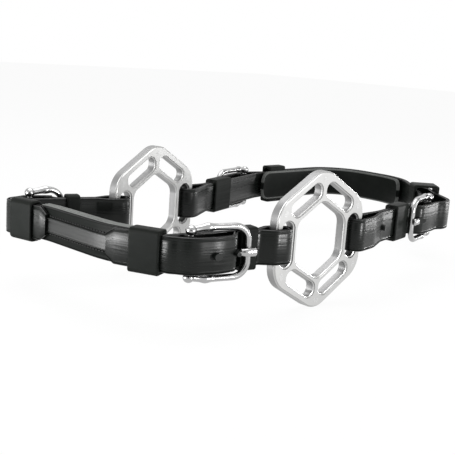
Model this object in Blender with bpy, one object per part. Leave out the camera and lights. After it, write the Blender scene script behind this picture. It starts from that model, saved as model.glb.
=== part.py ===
"""Hackamore noseband: two slotted wheels joined by a padded nose strap and a chin strap.

The loop lies in the XY plane, +Z up, with the origin midway between the wheel centres at
half the strap's width. The near wheel lies in the XZ plane and faces -Y, the nose is
towards -X and the chin towards +X. All lengths are in metres.
"""
import math

import bmesh
import bpy
from mathutils import Matrix, Vector

# Where the two wheels stand: across the loop, along it, and the off wheel's turn
LOOP_WIDTH = 0.1189
WHEEL_STAGGER = 0.0307
OFF_WHEEL_TURN = math.radians(9.9)

# Wheel plate
WHEEL_ACROSS_FLATS = 0.0750
WHEEL_CORNER_RADIUS = 0.0160
WHEEL_THICKNESS = 0.0070
WHEEL_CHAMFER = 0.0009
CENTRE_HOLE_ACROSS_FLATS = 0.0410
CENTRE_HOLE_CORNER_RADIUS = 0.0080
RIM_BAR_WIDTH = 0.0046
INNER_BAR_WIDTH = 0.0033
SLOT_WEB_WIDTH = 0.0045
SLOT_CORNER_RADIUS = 0.0042

# Straps
STRAP_WIDTH = 0.0200
LEATHER_THICKNESS = 0.0025
LAYER_GAP = 0.0003
FOLD_CLEARANCE = 0.0004
OPEN_PIVOT_CLEARANCE = 0.0009
FOLD_STRAIGHT = 0.0032
NOSE_FOLD_REACH = 0.0030
FOLD_LENGTH = 0.0118
OFF_CHIN_FOLD_LENGTH = 0.0260
NEAR_CHIN_FOLD_LENGTH = 0.0340
BILLET_SETTLE = 0.0022
STRAP_BEND_RADIUS = 0.0030
TIP_POINT_LENGTH = 0.0080
TIP_POINT_WIDTH = 0.0120

# Straight runs and bends of the loop
NOSE_LENGTH = 0.1210
CHIN_LENGTH = 0.2130
NOSE_CORNER_RADIUS = 0.0034
NOSE_BOW_RADIUS = 0.0700
CHIN_CORNER_RADIUS = 0.0120
CHIN_CHEEK_RADIUS = 0.0500
CHIN_POLL_RADIUS = 0.0360
CHIN_EASE_RADIUS = 0.0600

# Nose band and chin band
BAND_PADDING_THICKNESS = 0.0068
BAND_PADDING_WIDTH = 0.0200
RAISED_STRIP_WIDTH = 0.0085
RAISED_STRIP_THICKNESS = 0.0011
CHIN_BAND_WIDTH = 0.0230
CHIN_LINER_WIDTH = 0.0222
CHIN_LINER_THICKNESS = 0.0050
CHIN_LINER_END_RADIUS = 0.0080
PADDING_SETBACK = 0.0012
LINER_OVER_KEEPER = 0.0125
LINER_SHORT_OF_KEEPER = 0.0310

# Keepers
KEEPER_WALL = 0.0018
KEEPER_CORNER_RADIUS = 0.0012
CHIN_KEEPER_RISE = 0.0026

# Buckles
FRAME_LENGTH = 0.0345
FRAME_WIRE_RADIUS = 0.0019
FRAME_HALF_HEIGHT = 0.0140
FRAME_BAR_HALF_HEIGHT = 0.0127
FRAME_CORNER_RADIUS = 0.0085
FRAME_SHOULDER = 0.0090
FRAME_REST_HEIGHT = 0.0070
KNOB_RADIUS = 0.0026
BAR_RADIUS = 0.0015
BAR_HEIGHT = 0.0042
BAR_CLEARANCE = 0.0003
CHAPE_THICKNESS = 0.0016
CHAPE_WIDTH = 0.0176
CHAPE_TAIL = 0.0065
CHAPE_SLOT_WIDTH = 0.0048
PRONG_RADIUS = 0.0014
PRONG_RING_RADIUS = 0.0031
PRONG_RING_WIDTH = 0.0036
PRONG_OVERHANG = 0.0024
BILLET_HOLE_WIDTH = 0.0038
BILLET_HOLE_PLAY = 0.0016
SPARE_HOLE_RADIUS = 0.0020
BILLET_RISE_START = 0.0045
BILLET_RISE_LENGTH = 0.0055
BILLET_SHOULDER_RADIUS = 0.0045
BILLET_CROWN = 0.0008
BILLET_CROWN_RADIUS = 0.0120
SWELL_DISTANCE = 0.0120
SWELL_RADIUS = 0.0150
LOOSE_STRAP_SWELL = 0.0060
LOOSE_STRAP_SLACK = 0.0100

# Each buckled strap end. BAR runs from the wheel's rim bar to the buckle's bar, SLIDE_OVERLAP from
# the sliding keeper's far edge back to the frame's free end, FIXED_SETBACK from the buckle's bar to
# the fixed keeper, TIP_LENGTH from that keeper to the billet's tip, and SPARE_SETBACK from the
# buckle's bar, or in the chin strap from the sliding keeper, towards the wheel
NEAR_NOSE_BAR = 0.0575
NEAR_NOSE_SLIDE_OVERLAP = 0.0030
NEAR_NOSE_SLIDE_WIDTH = 0.0112
NEAR_NOSE_FIXED_SETBACK = 0.0137
NEAR_NOSE_FIXED_WIDTH = 0.0180
NEAR_NOSE_TIP_LENGTH = 0.0148
NEAR_NOSE_SPARE_SETBACK = 0.0115
OFF_NOSE_BAR = 0.0525
OFF_NOSE_FRAME_LENGTH = 0.0205
OFF_NOSE_SLIDE_OVERLAP = -0.0005
OFF_NOSE_SLIDE_WIDTH = 0.0085
OFF_NOSE_FIXED_SETBACK = 0.0155
OFF_NOSE_FIXED_WIDTH = 0.0170
OFF_NOSE_TIP_LENGTH = 0.0110
OFF_NOSE_SPARE_SETBACK = 0.0065
OFF_CHIN_BAR = 0.1000
OFF_CHIN_FRAME_LENGTH = 0.0400
OFF_CHIN_SLIDE_OVERLAP = -0.0004
OFF_CHIN_SLIDE_WIDTH = 0.0240
OFF_CHIN_FIXED_SETBACK = 0.0245
OFF_CHIN_FIXED_WIDTH = 0.0180
OFF_CHIN_TIP_LENGTH = 0.0135
OFF_CHIN_SPARE_SETBACK = 0.0050
NEAR_CHIN_BAR = 0.1060
NEAR_CHIN_SLIDE_OVERLAP = -0.0010
NEAR_CHIN_SLIDE_WIDTH = 0.0185
NEAR_CHIN_FIXED_SETBACK = 0.0420
NEAR_CHIN_FIXED_WIDTH = 0.0170
NEAR_CHIN_TIP_LENGTH = 0.0500
NEAR_CHIN_SPARE_SETBACK = 0.0190

# How finely round stretches are drawn, and how far a cutter runs past what it cuts
ARC_STEP = math.radians(15)
RIM_ARC_STEP = math.radians(10)
WIRE_ARC_STEP = math.radians(18)
STRIP_ARC_STEP = math.radians(22.5)
KEEPER_ARC_STEP = math.radians(30)
PLAN_STEP = 0.0090
WIRE_SIDES = 10
BAR_SIDES = 16
RING_SIDES = 20
HOLE_SIDES = 8
BALL_SEGMENTS = 12
BALL_RINGS = 8
END_STEPS = 4
OVERRUN = 0.0010
SAME_POINT = 0.00001
SAME_PLACE = 0.0003
SAME_STEP_SHARE = 0.001

# Values worked out from the sizes above
WHEEL_SIDES = 6
SIDE_TURN = 2 * math.pi / WHEEL_SIDES
RIM_BAR_REACH = (WHEEL_ACROSS_FLATS - RIM_BAR_WIDTH) / 2
RIM_BAR_HALF_DIAGONAL = math.hypot(RIM_BAR_WIDTH, WHEEL_THICKNESS) / 2
LAYER_MIDDLE = (LEATHER_THICKNESS + LAYER_GAP) / 2
STACK_FACE = LEATHER_THICKNESS + LAYER_GAP / 2
CHAPE_TURN_RADIUS = BAR_RADIUS + BAR_CLEARANCE + CHAPE_THICKNESS / 2
BILLET_TOP = BAR_HEIGHT + CHAPE_TURN_RADIUS + CHAPE_THICKNESS / 2 + LAYER_GAP + LEATHER_THICKNESS / 2
KEEPER_INNER_HALF_HEIGHT = STRAP_WIDTH / 2 + LAYER_GAP
NEAR_CENTRE = Vector((WHEEL_STAGGER / 2, -LOOP_WIDTH / 2))
OFF_CENTRE = -NEAR_CENTRE
OFF_DIRECTION = Vector((math.cos(OFF_WHEEL_TURN), math.sin(OFF_WHEEL_TURN)))

# Where along the billet's rise, from its foot, the prong comes through
PRONG_CROSSING_SHARE = 0.66

# Corners of the two routes, as shares of each strap's length along X and of the loop's width along Y
NOSE_ROUTE_SHARES = ((-0.847, 0.100), (-0.975, 0.381), (-1.000, 0.851), (-1.063, 1.113))
CHIN_ROUTE_SHARES = ((0.516, 1.382), (0.981, 1.390), (1.000, 0.785), (0.704, 0.209))


def clear_scene():
    """Remove every object of the scene this script starts in."""
    for item in list(bpy.data.objects):
        bpy.data.objects.remove(item, do_unlink=True)


def make_material(name, colour, roughness, metallic):
    """Return a Principled BSDF material."""
    material = bpy.data.materials.new(name)
    material.use_nodes = True
    shader = material.node_tree.nodes["Principled BSDF"]
    shader.inputs["Base Color"].default_value = (*colour, 1)
    shader.inputs["Roughness"].default_value = roughness
    shader.inputs["Metallic"].default_value = metallic
    material.diffuse_color = (*colour, 1)
    return material


def leather_material(name, lightness):
    """Return a black leather of the given lightness."""
    return make_material(name, (lightness, lightness, lightness * 0.96), 0.45, 0)


def metal_material(name, lightness, roughness):
    """Return a bare metal of the given lightness."""
    return make_material(name, (lightness, lightness, lightness), roughness, 1)


def link_object(name, mesh, material):
    """Put a mesh in the scene as a named object."""
    item = bpy.data.objects.new(name, mesh)
    item.data.materials.append(material)
    bpy.context.scene.collection.objects.link(item)
    return item


def set_origin(item, point):
    """Move an object's origin to a world point and leave its shape where it is."""
    offset = Vector(point) - item.location
    for vertex in item.data.vertices:
        vertex.co -= offset
    item.location = point


def finish_mesh(mesh, name):
    """Turn a bmesh into a mesh with its faces pointing out."""
    bmesh.ops.recalc_face_normals(mesh, faces=mesh.faces)
    data = bpy.data.meshes.new(name)
    mesh.to_mesh(data)
    mesh.free()
    return data


def apply_boolean(item, cutter, operation):
    """Combine an object with another and delete the other."""
    step = item.modifiers.new(operation.lower(), "BOOLEAN")
    step.operation = operation
    step.solver = "EXACT"
    step.object = cutter
    graph = bpy.context.evaluated_depsgraph_get()
    combined = bpy.data.meshes.new_from_object(item.evaluated_get(graph))
    item.modifiers.clear()
    item.data = combined
    bpy.data.objects.remove(cutter, do_unlink=True)


def turned(vector):
    """Return a plan vector turned a quarter to the left."""
    return Vector((-vector.y, vector.x))


def rounded_polyline(corners, radii, step):
    """Return (point, direction) pairs along straight runs joined by arcs.

    corners are plan vectors, and radii has one bend radius for each inner corner.
    """
    result = [(corners[0], (corners[1] - corners[0]).normalized())]
    for index, radius in enumerate(radii, start=1):
        corner = corners[index]
        before = (corner - corners[index - 1]).normalized()
        after = (corners[index + 1] - corner).normalized()
        bend = math.atan2(before.cross(after), before.dot(after))
        tangent_length = radius * math.tan(abs(bend) / 2)
        side = math.copysign(1, bend)
        start = corner - before * tangent_length
        centre = start + turned(before) * radius * side
        count = max(1, math.ceil(abs(bend) / step - SAME_STEP_SHARE))
        for number in range(count + 1):
            angle = bend * number / count
            spoke = -turned(before) * side
            spoke.rotate(rotation_2d(angle))
            heading = before.copy()
            heading.rotate(rotation_2d(angle))
            result.append((centre + spoke * radius, heading))
    result.append((corners[-1], (corners[-1] - corners[-2]).normalized()))
    kept = result[:1]
    for pair in result[1:]:
        if (pair[0] - kept[-1][0]).length > SAME_POINT:
            kept.append(pair)
    return kept


def rotation_2d(angle):
    """Return a plan rotation."""
    return Matrix.Rotation(angle, 2)


class Route:
    """A plan line of straight runs and arcs, read by the distance along it."""

    def __init__(self, corners, radii):
        self.runs = []
        self.stations = []
        self.length = 0
        place = corners[0]
        for index, radius in enumerate(radii, start=1):
            before = (corners[index] - corners[index - 1]).normalized()
            after = (corners[index + 1] - corners[index]).normalized()
            bend = math.atan2(before.cross(after), before.dot(after))
            start = corners[index] - before * radius * math.tan(abs(bend) / 2)
            self.add_run(place, before, (start - place).length, 0)
            self.add_run(start, before, radius * abs(bend), bend)
            place = corners[index] + after * radius * math.tan(abs(bend) / 2)
        last = corners[-1] - place
        self.add_run(place, last.normalized(), last.length, 0)

    def add_run(self, start, heading, length, bend):
        """Add one straight run, or an arc if it bends, and the stations where a strip needs rings."""
        self.runs.append((self.length, start, heading, length, bend))
        count = max(1, math.ceil(abs(bend) / ARC_STEP), math.ceil(length / PLAN_STEP)) if bend else 1
        self.stations += [self.length + length * number / count for number in range(count)]
        self.length += length

    def stations_between(self, start, finish):
        """Return the stations that lie between two distances, clear of both."""
        return [place for place in self.stations if start + SAME_PLACE < place < finish - SAME_PLACE]

    def place(self, distance, offset):
        """Return the plan point at a distance along the line and an offset to its left."""
        point, heading = self.frame(distance)
        return point + turned(heading) * offset

    def frame(self, distance):
        """Return the point and the heading at a distance along the line."""
        run = self.runs[0]
        for candidate in self.runs:
            if candidate[0] <= distance:
                run = candidate
        begin, start, heading, length, bend = run
        along = distance - begin
        if bend == 0:
            return start + heading * along, heading
        radius = length / abs(bend)
        side = math.copysign(1, bend)
        angle = bend * along / length
        centre = start + turned(heading) * radius * side
        spoke = -turned(heading) * side
        spoke.rotate(rotation_2d(angle))
        new_heading = heading.copy()
        new_heading.rotate(rotation_2d(angle))
        return centre + spoke * radius, new_heading


class StrapEnd:
    """One end of a route, measured from the wheel's rim bar towards the middle of the strap."""

    def __init__(self, route, from_start):
        self.route = route
        self.from_start = from_start

    def place(self, distance, offset):
        """Return the plan point at a distance from the rim bar and an outward offset."""
        if self.from_start:
            return self.route.place(distance, offset)
        return self.route.place(self.route.length - distance, offset)

    def stations_between(self, start, finish):
        """Return the stations that lie between two distances from the rim bar, in their order."""
        low = min(start, finish)
        high = max(start, finish)
        if self.from_start:
            places = self.route.stations_between(low, high)
        else:
            length = self.route.length
            places = [length - place for place in self.route.stations_between(length - high, length - low)]
        return sorted(places, reverse=start > finish)

    def world(self, distance, offset, height):
        """Return the world point at a distance, an outward offset and a height."""
        return self.place(distance, offset).to_3d() + Vector((0, 0, height))


def loop_routes():
    """Return the nose route, near to off, and the chin route, off to near."""
    near_bar = Vector((RIM_BAR_REACH, 0))
    off_bar = OFF_DIRECTION * RIM_BAR_REACH
    nose_corners = [NEAR_CENTRE + Vector((x * NOSE_LENGTH, y * LOOP_WIDTH)) for x, y in NOSE_ROUTE_SHARES]
    chin_corners = [NEAR_CENTRE + Vector((x * CHIN_LENGTH, y * LOOP_WIDTH)) for x, y in CHIN_ROUTE_SHARES]
    nose = Route([NEAR_CENTRE - near_bar, *nose_corners, OFF_CENTRE - off_bar],
                 (NOSE_CORNER_RADIUS, NOSE_BOW_RADIUS, NOSE_BOW_RADIUS, NOSE_CORNER_RADIUS))
    chin = Route([OFF_CENTRE + off_bar, *chin_corners, NEAR_CENTRE + near_bar],
                 (CHIN_EASE_RADIUS, CHIN_POLL_RADIUS, CHIN_CHEEK_RADIUS, CHIN_CORNER_RADIUS))
    return nose, chin


def loft_rings(rings, name):
    """Return a closed mesh through rings of equal count, capped at both ends."""
    mesh = bmesh.new()
    made = [[mesh.verts.new(point) for point in ring] for ring in rings]
    count = len(made[0])
    for first, second in zip(made, made[1:]):
        for index in range(count):
            following = (index + 1) % count
            mesh.faces.new((first[index], first[following], second[following], second[index]))
    mesh.faces.new(made[0])
    mesh.faces.new(reversed(made[-1]))
    return finish_mesh(mesh, name)


def refined(pairs, end):
    """Return (point, heading) pairs with a pair added at every station of the route."""
    result = [pairs[0]]
    for (first, _), (second, heading) in zip(pairs, pairs[1:]):
        run = (second - first).normalized()
        for place in end.stations_between(first.x, second.x):
            result.append((first.lerp(second, (place - first.x) / (second.x - first.x)), run))
        result.append((second, heading))
    return result


def strip_rings(end, corners, radii, thickness, half_height):
    """Return the rings of a flat strip.

    corners are (distance, offset) vectors along the strip's middle, and half_height is a
    function of the distance walked along it and of its whole length.
    """
    pairs = refined(rounded_polyline(corners, radii, STRIP_ARC_STEP), end)
    rings = []
    total = sum((b[0] - a[0]).length for a, b in zip(pairs, pairs[1:]))
    walked = 0
    previous = pairs[0][0]
    for point, heading in pairs:
        walked += (point - previous).length
        previous = point
        across = turned(heading) * thickness / 2
        half = half_height(walked, total)
        outer = point + across
        inner = point - across
        rings.append([end.world(outer.x, outer.y, half), end.world(outer.x, outer.y, -half),
                      end.world(inner.x, inner.y, -half), end.world(inner.x, inner.y, half)])
    return rings


def plain_half_height(width):
    """Return the half-height function of a strip of one width."""
    return lambda walked, total: width / 2


def rounded_rectangle(half_x, half_y, radius):
    """Return the outline of a rectangle with round corners."""
    corners = [Vector((half_x, half_y)), Vector((-half_x, half_y)),
               Vector((-half_x, -half_y)), Vector((half_x, -half_y))]
    return closed_outline(corners, radius, KEEPER_ARC_STEP)


def closed_outline(corners, radius, step):
    """Return a closed outline with each corner rounded to one radius."""
    middle = corners[0].lerp(corners[-1], 0.5)
    looped = [middle, *corners, middle]
    return [point for point, _ in rounded_polyline(looped, [radius] * len(corners), step)][1:-1]


def hexagon(across_flats):
    """Return the corners of a hexagon that stands on a point."""
    reach = across_flats / math.sqrt(3)
    return [Vector((reach * math.sin(turn), reach * math.cos(turn)))
            for turn in (-SIDE_TURN * number for number in range(WHEEL_SIDES))]


def slot_outline(turn):
    """Return the outline of the strap slot on the wheel side that faces a direction."""
    outer = WHEEL_ACROSS_FLATS / 2 - RIM_BAR_WIDTH
    inner = CENTRE_HOLE_ACROSS_FLATS / 2 + INNER_BAR_WIDTH
    web = SLOT_WEB_WIDTH / 2 / math.cos(SIDE_TURN / 2)
    half_outer = outer * math.tan(SIDE_TURN / 2) - web
    half_inner = inner * math.tan(SIDE_TURN / 2) - web
    corners = [Vector((outer, -half_outer)), Vector((outer, half_outer)),
               Vector((inner, half_inner)), Vector((inner, -half_inner))]
    for corner in corners:
        corner.rotate(rotation_2d(turn))
    return closed_outline(corners, SLOT_CORNER_RADIUS, STRIP_ARC_STEP)


def wheel_prism(outline, name, flare):
    """Return a prism through the wheel's thickness, along Y, for a hole if flare is set."""
    half = WHEEL_THICKNESS / 2
    centre = sum(outline, Vector((0, 0))) / len(outline)
    if flare > 0:
        widened = widened_outline(outline, centre, flare + OVERRUN)
        levels = ((-half - OVERRUN, widened), (-half + flare, outline),
                  (half - flare, outline), (half + OVERRUN, widened))
    else:
        widened = widened_outline(outline, centre, flare)
        levels = ((-half, widened), (-half - flare, outline), (half + flare, outline), (half, widened))
    rings = [[Vector((point.x, level, point.y)) for point in shape] for level, shape in levels]
    return loft_rings(rings, name)


def widened_outline(outline, centre, amount):
    """Return an outline moved out by an amount along its own normals."""
    moved = []
    for index, point in enumerate(outline):
        before = outline[index - 1]
        after = outline[(index + 1) % len(outline)]
        normal = -turned((after - before).normalized())
        if normal.dot(point - centre) < 0:
            normal = -normal
        moved.append(point + normal * amount)
    return moved


def make_wheel(name, centre, turn, material):
    """Make one slotted wheel about its centre."""
    rim = closed_outline(hexagon(WHEEL_ACROSS_FLATS), WHEEL_CORNER_RADIUS, RIM_ARC_STEP)
    wheel = link_object(name, wheel_prism(rim, name, -WHEEL_CHAMFER), material)
    holes = [closed_outline(hexagon(CENTRE_HOLE_ACROSS_FLATS), CENTRE_HOLE_CORNER_RADIUS, ARC_STEP)]
    holes += [slot_outline(SIDE_TURN * number) for number in range(WHEEL_SIDES)]
    for outline in holes:
        cutter = link_object("cutter", wheel_prism(outline, "cutter", WHEEL_CHAMFER), material)
        apply_boolean(wheel, cutter, "DIFFERENCE")
    wheel.data.transform(Matrix.Rotation(turn, 4, "Z"))
    wheel.location = centre.to_3d()
    return wheel


def tapered_tip(walked, total):
    """Return a billet's half-height, drawn in to a blunt point over its last stretch."""
    left = total - walked
    if left >= TIP_POINT_LENGTH:
        return STRAP_WIDTH / 2
    share = 1 - left / TIP_POINT_LENGTH
    return (STRAP_WIDTH - (STRAP_WIDTH - TIP_POINT_WIDTH) * share) / 2


class Corner:
    """The buckled strap end at one wheel. Distances run from the wheel's rim bar."""

    def __init__(self, name, end, bar, frame_length, slide_overlap, slide_width, fixed_setback, fixed_width,
                 tip_length):
        self.name = name
        self.end = end
        self.bar = bar
        self.free = bar - frame_length
        self.slide = self.free + slide_overlap - slide_width
        self.slide_width = slide_width
        self.fixed = bar + fixed_setback
        self.fixed_width = fixed_width
        self.tip = self.fixed + fixed_width + tip_length
        self.swell = 0
        self.loose = 0
        self.rise = 0
        self.reach = 0
        self.fold = FOLD_LENGTH
        self.fold_gap = FOLD_CLEARANCE
        self.spare = Vector((0, 0))


def billet_corners(corner):
    """Return the corners and bend radii of the billet's middle line, inner end to tip."""
    turn = RIM_BAR_HALF_DIAGONAL + corner.fold_gap + LEATHER_THICKNESS / 2
    rise = corner.free + BILLET_RISE_START
    corners = [(corner.fixed + corner.fixed_width, -LAYER_MIDDLE), (corner.fold, -LAYER_MIDDLE),
               (FOLD_STRAIGHT, -turn), (-turn - corner.reach, -turn), (-turn - corner.reach, turn),
               (FOLD_STRAIGHT, turn),
               (corner.fold, LAYER_MIDDLE), (rise, LAYER_MIDDLE), (rise + BILLET_RISE_LENGTH, BILLET_TOP)]
    radii = [STRAP_BEND_RADIUS, STRAP_BEND_RADIUS, turn, turn, STRAP_BEND_RADIUS, STRAP_BEND_RADIUS,
             STRAP_BEND_RADIUS / 2, BILLET_SHOULDER_RADIUS]
    corners.append((corner.bar + CHAPE_TURN_RADIUS, BILLET_TOP + BILLET_CROWN))
    radii.append(BILLET_CROWN_RADIUS)
    if corner.swell > 0:
        corners.append((corner.bar + SWELL_DISTANCE, BILLET_TOP + corner.swell))
        radii.append(SWELL_RADIUS)
    corners.append((corner.fixed - BILLET_SETTLE, LAYER_MIDDLE + corner.loose))
    radii.append(STRAP_BEND_RADIUS)
    if corner.loose > 0:
        corners.append((corner.fixed + corner.fixed_width + BILLET_SETTLE, LAYER_MIDDLE + corner.loose))
        corners.append((corner.fixed + corner.fixed_width * 2, LAYER_MIDDLE))
        radii += [STRAP_BEND_RADIUS, STRAP_BEND_RADIUS]
    corners.append((corner.tip, LAYER_MIDDLE))
    return [Vector(point) for point in corners], radii


def prong_crossing(corner):
    """Return the middle of the prong's hole in the rising billet and the billet's slope there."""
    rise_start = Vector((corner.free + BILLET_RISE_START, LAYER_MIDDLE))
    rise_end = Vector((corner.free + BILLET_RISE_START + BILLET_RISE_LENGTH, BILLET_TOP))
    return rise_start.lerp(rise_end, PRONG_CROSSING_SHARE), (rise_end - rise_start).normalized()


def hole_prism(end, middle, slope, outline, depth):
    """Return a prism through a strip, for an outline given across and up the strip."""
    through = turned(slope)
    rings = []
    for shift in (-depth, depth):
        ring = []
        for along, height in outline:
            point = middle + slope * along + through * shift
            ring.append(end.world(point.x, point.y, height))
        rings.append(ring)
    return loft_rings(rings, "cutter")


def make_billet(corner, material):
    """Make the billet: it folds round the rim bar and comes back over the buckle."""
    corners, radii = billet_corners(corner)
    rings = strip_rings(corner.end, corners, radii, LEATHER_THICKNESS, tapered_tip)
    billet = link_object(corner.name + "_billet", loft_rings(rings, corner.name), material)
    middle, slope = prong_crossing(corner)
    half = BILLET_HOLE_WIDTH / 2
    outline = rounded_rectangle(half + BILLET_HOLE_PLAY / 2, half, half / 2)
    outline = [(along + BILLET_HOLE_PLAY / 2, height) for along, height in outline]
    circle = [(SPARE_HOLE_RADIUS * math.cos(turn), SPARE_HOLE_RADIUS * math.sin(turn))
              for turn in turns(HOLE_SIDES)]
    for place, direction, shape in ((middle, slope, outline), (corner.spare, Vector((1, 0)), circle)):
        cutter = hole_prism(corner.end, place, direction, shape, LEATHER_THICKNESS)
        apply_boolean(billet, link_object("cutter", cutter, material), "DIFFERENCE")
    return billet


def make_chape(corner, material):
    """Make the chape: the sewn leather loop that holds the buckle's bar."""
    turn = CHAPE_TURN_RADIUS
    low = LAYER_GAP / 2 + CHAPE_THICKNESS / 2
    high = low + CHAPE_THICKNESS + LAYER_GAP
    bar = corner.bar
    ease = CHAPE_TAIL - turn / 2
    corners = [(bar + CHAPE_TAIL, low), (bar + ease, low), (bar + turn / 2, BAR_HEIGHT - turn),
               (bar - turn, BAR_HEIGHT - turn), (bar - turn, BAR_HEIGHT + turn),
               (bar + turn / 2, BAR_HEIGHT + turn), (bar + ease, high), (bar + CHAPE_TAIL, high)]
    radii = [CHAPE_THICKNESS, CHAPE_THICKNESS, turn, turn, CHAPE_THICKNESS, CHAPE_THICKNESS]
    rings = strip_rings(corner.end, [Vector(point) for point in corners], radii, CHAPE_THICKNESS,
                        plain_half_height(CHAPE_WIDTH))
    chape = link_object(corner.name + "_chape", loft_rings(rings, corner.name), material)
    half = CHAPE_SLOT_WIDTH / 2
    back = PRONG_RING_RADIUS + LAYER_GAP
    outline = [(-turn * 2, -half), (back, -half), (back, half), (-turn * 2, half)]
    cutter = hole_prism(corner.end, Vector((bar, BAR_HEIGHT)), Vector((1, 0)), outline, turn * 2)
    apply_boolean(chape, link_object("cutter", cutter, material), "DIFFERENCE")
    return chape


def turns(count):
    """Return evenly spaced angles round a full turn."""
    return [2 * math.pi * number / count for number in range(count)]


def wire_mesh(points, normal, radius, name):
    """Return a closed round wire through world points that lie in one plane of the given normal."""
    rings = []
    for index, point in enumerate(points):
        before = points[max(index - 1, 0)]
        after = points[min(index + 1, len(points) - 1)]
        across = (after - before).normalized().cross(normal)
        rings.append([point + (normal * math.cos(turn) + across * math.sin(turn)) * radius
                      for turn in turns(WIRE_SIDES)])
    return loft_rings(rings, name)


def ball_mesh(point, radius, name):
    """Return a round ball."""
    mesh = bmesh.new()
    bmesh.ops.create_uvsphere(mesh, u_segments=BALL_SEGMENTS, v_segments=BALL_RINGS, radius=radius)
    bmesh.ops.translate(mesh, verts=mesh.verts, vec=point)
    return finish_mesh(mesh, name)


def frame_direction(corner):
    """Return the frame's world origin, its heading to the free end, and its reach."""
    start = corner.end.world(corner.bar, BAR_HEIGHT, 0)
    finish = corner.end.world(corner.free, FRAME_REST_HEIGHT, 0)
    return start, (finish - start).normalized(), (finish - start).length


def make_frame(corner, material):
    """Make the buckle's wire frame: a rounded U whose ends are two balls on the bar's line."""
    start, heading, reach = frame_direction(corner)
    narrow = FRAME_BAR_HALF_HEIGHT
    corners = [(0, narrow), (FRAME_SHOULDER, FRAME_HALF_HEIGHT), (reach, FRAME_HALF_HEIGHT),
               (reach, -FRAME_HALF_HEIGHT), (FRAME_SHOULDER, -FRAME_HALF_HEIGHT), (0, -narrow)]
    radii = [FRAME_CORNER_RADIUS] * 4
    pairs = rounded_polyline([Vector(point) for point in corners], radii, WIRE_ARC_STEP)
    points = [start + heading * point.x + Vector((0, 0, point.y)) for point, _ in pairs]
    normal = heading.cross(Vector((0, 0, 1))).normalized()
    frame = link_object(corner.name + "_buckle_frame",
                        wire_mesh(points, normal, FRAME_WIRE_RADIUS, corner.name), material)
    for height in (narrow, -narrow):
        ball = ball_mesh(start + Vector((0, 0, height)), KNOB_RADIUS, "ball")
        apply_boolean(frame, link_object("ball", ball, material), "UNION")
    set_origin(frame, start)
    return frame


def make_bar(corner, material):
    """Make the buckle's bar, between the frame's two balls."""
    start, _, _ = frame_direction(corner)
    half = FRAME_BAR_HALF_HEIGHT - KNOB_RADIUS - LAYER_GAP
    mesh = bmesh.new()
    bmesh.ops.create_cone(mesh, cap_ends=True, segments=BAR_SIDES, radius1=BAR_RADIUS, radius2=BAR_RADIUS,
                          depth=half * 2)
    bmesh.ops.translate(mesh, verts=mesh.verts, vec=start)
    return link_object(corner.name + "_buckle_bar", finish_mesh(mesh, corner.name), material)


def prong_corners(corner):
    """Return the corners of the prong's middle line, ring to point, as (distance, offset)."""
    middle, _ = prong_crossing(corner)
    over = FRAME_REST_HEIGHT + FRAME_WIRE_RADIUS + LAYER_GAP + PRONG_RADIUS
    ring = (PRONG_RING_RADIUS + BAR_RADIUS + BAR_CLEARANCE) / 2
    top = Vector((corner.free + FRAME_WIRE_RADIUS + PRONG_RADIUS, over))
    rise = top - middle
    foot = middle - rise * ((middle.y - BAR_HEIGHT) / rise.y)
    return [Vector((corner.bar - ring, BAR_HEIGHT)), foot, top,
            Vector((corner.free - PRONG_OVERHANG, over))]


def make_prong(corner, material):
    """Make the prong: a ring on the bar, and a wire that comes up through the billet's hole."""
    corners = prong_corners(corner)
    pairs = refined(rounded_polyline(corners, [PRONG_RADIUS * 2] * 2, WIRE_ARC_STEP), corner.end)
    points = [corner.end.world(point.x, point.y, 0) for point, _ in pairs]
    prong = link_object(corner.name + "_prong",
                        wire_mesh(points, Vector((0, 0, 1)), PRONG_RADIUS, corner.name), material)
    bore = BAR_RADIUS + BAR_CLEARANCE
    start, _, _ = frame_direction(corner)
    ring = link_object("ring", ring_mesh(start, PRONG_RING_RADIUS, bore, PRONG_RING_WIDTH), material)
    apply_boolean(prong, ring, "UNION")
    set_origin(prong, start)
    return prong


def ring_mesh(centre, outer, bore, width):
    """Return a plain upright ring."""
    mesh = bmesh.new()
    loops = []
    for radius, level in ((outer, width / 2), (outer, -width / 2), (bore, -width / 2), (bore, width / 2)):
        circle = [Vector((radius * math.cos(turn), radius * math.sin(turn), level))
                  for turn in turns(RING_SIDES)]
        loops.append([mesh.verts.new(centre + point) for point in circle])
    for first, second in zip(loops, [*loops[1:], loops[0]]):
        for index in range(RING_SIDES):
            following = (index + 1) % RING_SIDES
            mesh.faces.new((first[index], first[following], second[following], second[index]))
    return finish_mesh(mesh, "ring")


def keeper_mesh(end, start, width, loose, rise, name):
    """Return a keeper: a rounded rectangular band round both strap layers.

    loose is its spare depth on the outer side, and rise its spare height at each edge.
    """
    half_depth = STACK_FACE + LAYER_GAP + loose / 2
    half_height = KEEPER_INNER_HALF_HEIGHT + rise
    outer = rounded_rectangle(half_depth + KEEPER_WALL, half_height + KEEPER_WALL, KEEPER_CORNER_RADIUS)
    inner = rounded_rectangle(half_depth, half_height, KEEPER_CORNER_RADIUS / 2)
    mesh = bmesh.new()
    loops = []
    marks = [start, *end.stations_between(start, start + width), start + width]
    for outline, distance in [(outer, mark) for mark in marks] + [(inner, mark) for mark in reversed(marks)]:
        loops.append([mesh.verts.new(end.world(distance, offset + loose / 2, height))
                      for offset, height in outline])
    for first, second in zip(loops, [*loops[1:], loops[0]]):
        for index in range(len(outer)):
            following = (index + 1) % len(outer)
            mesh.faces.new((first[index], first[following], second[following], second[index]))
    return finish_mesh(mesh, name)


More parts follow.
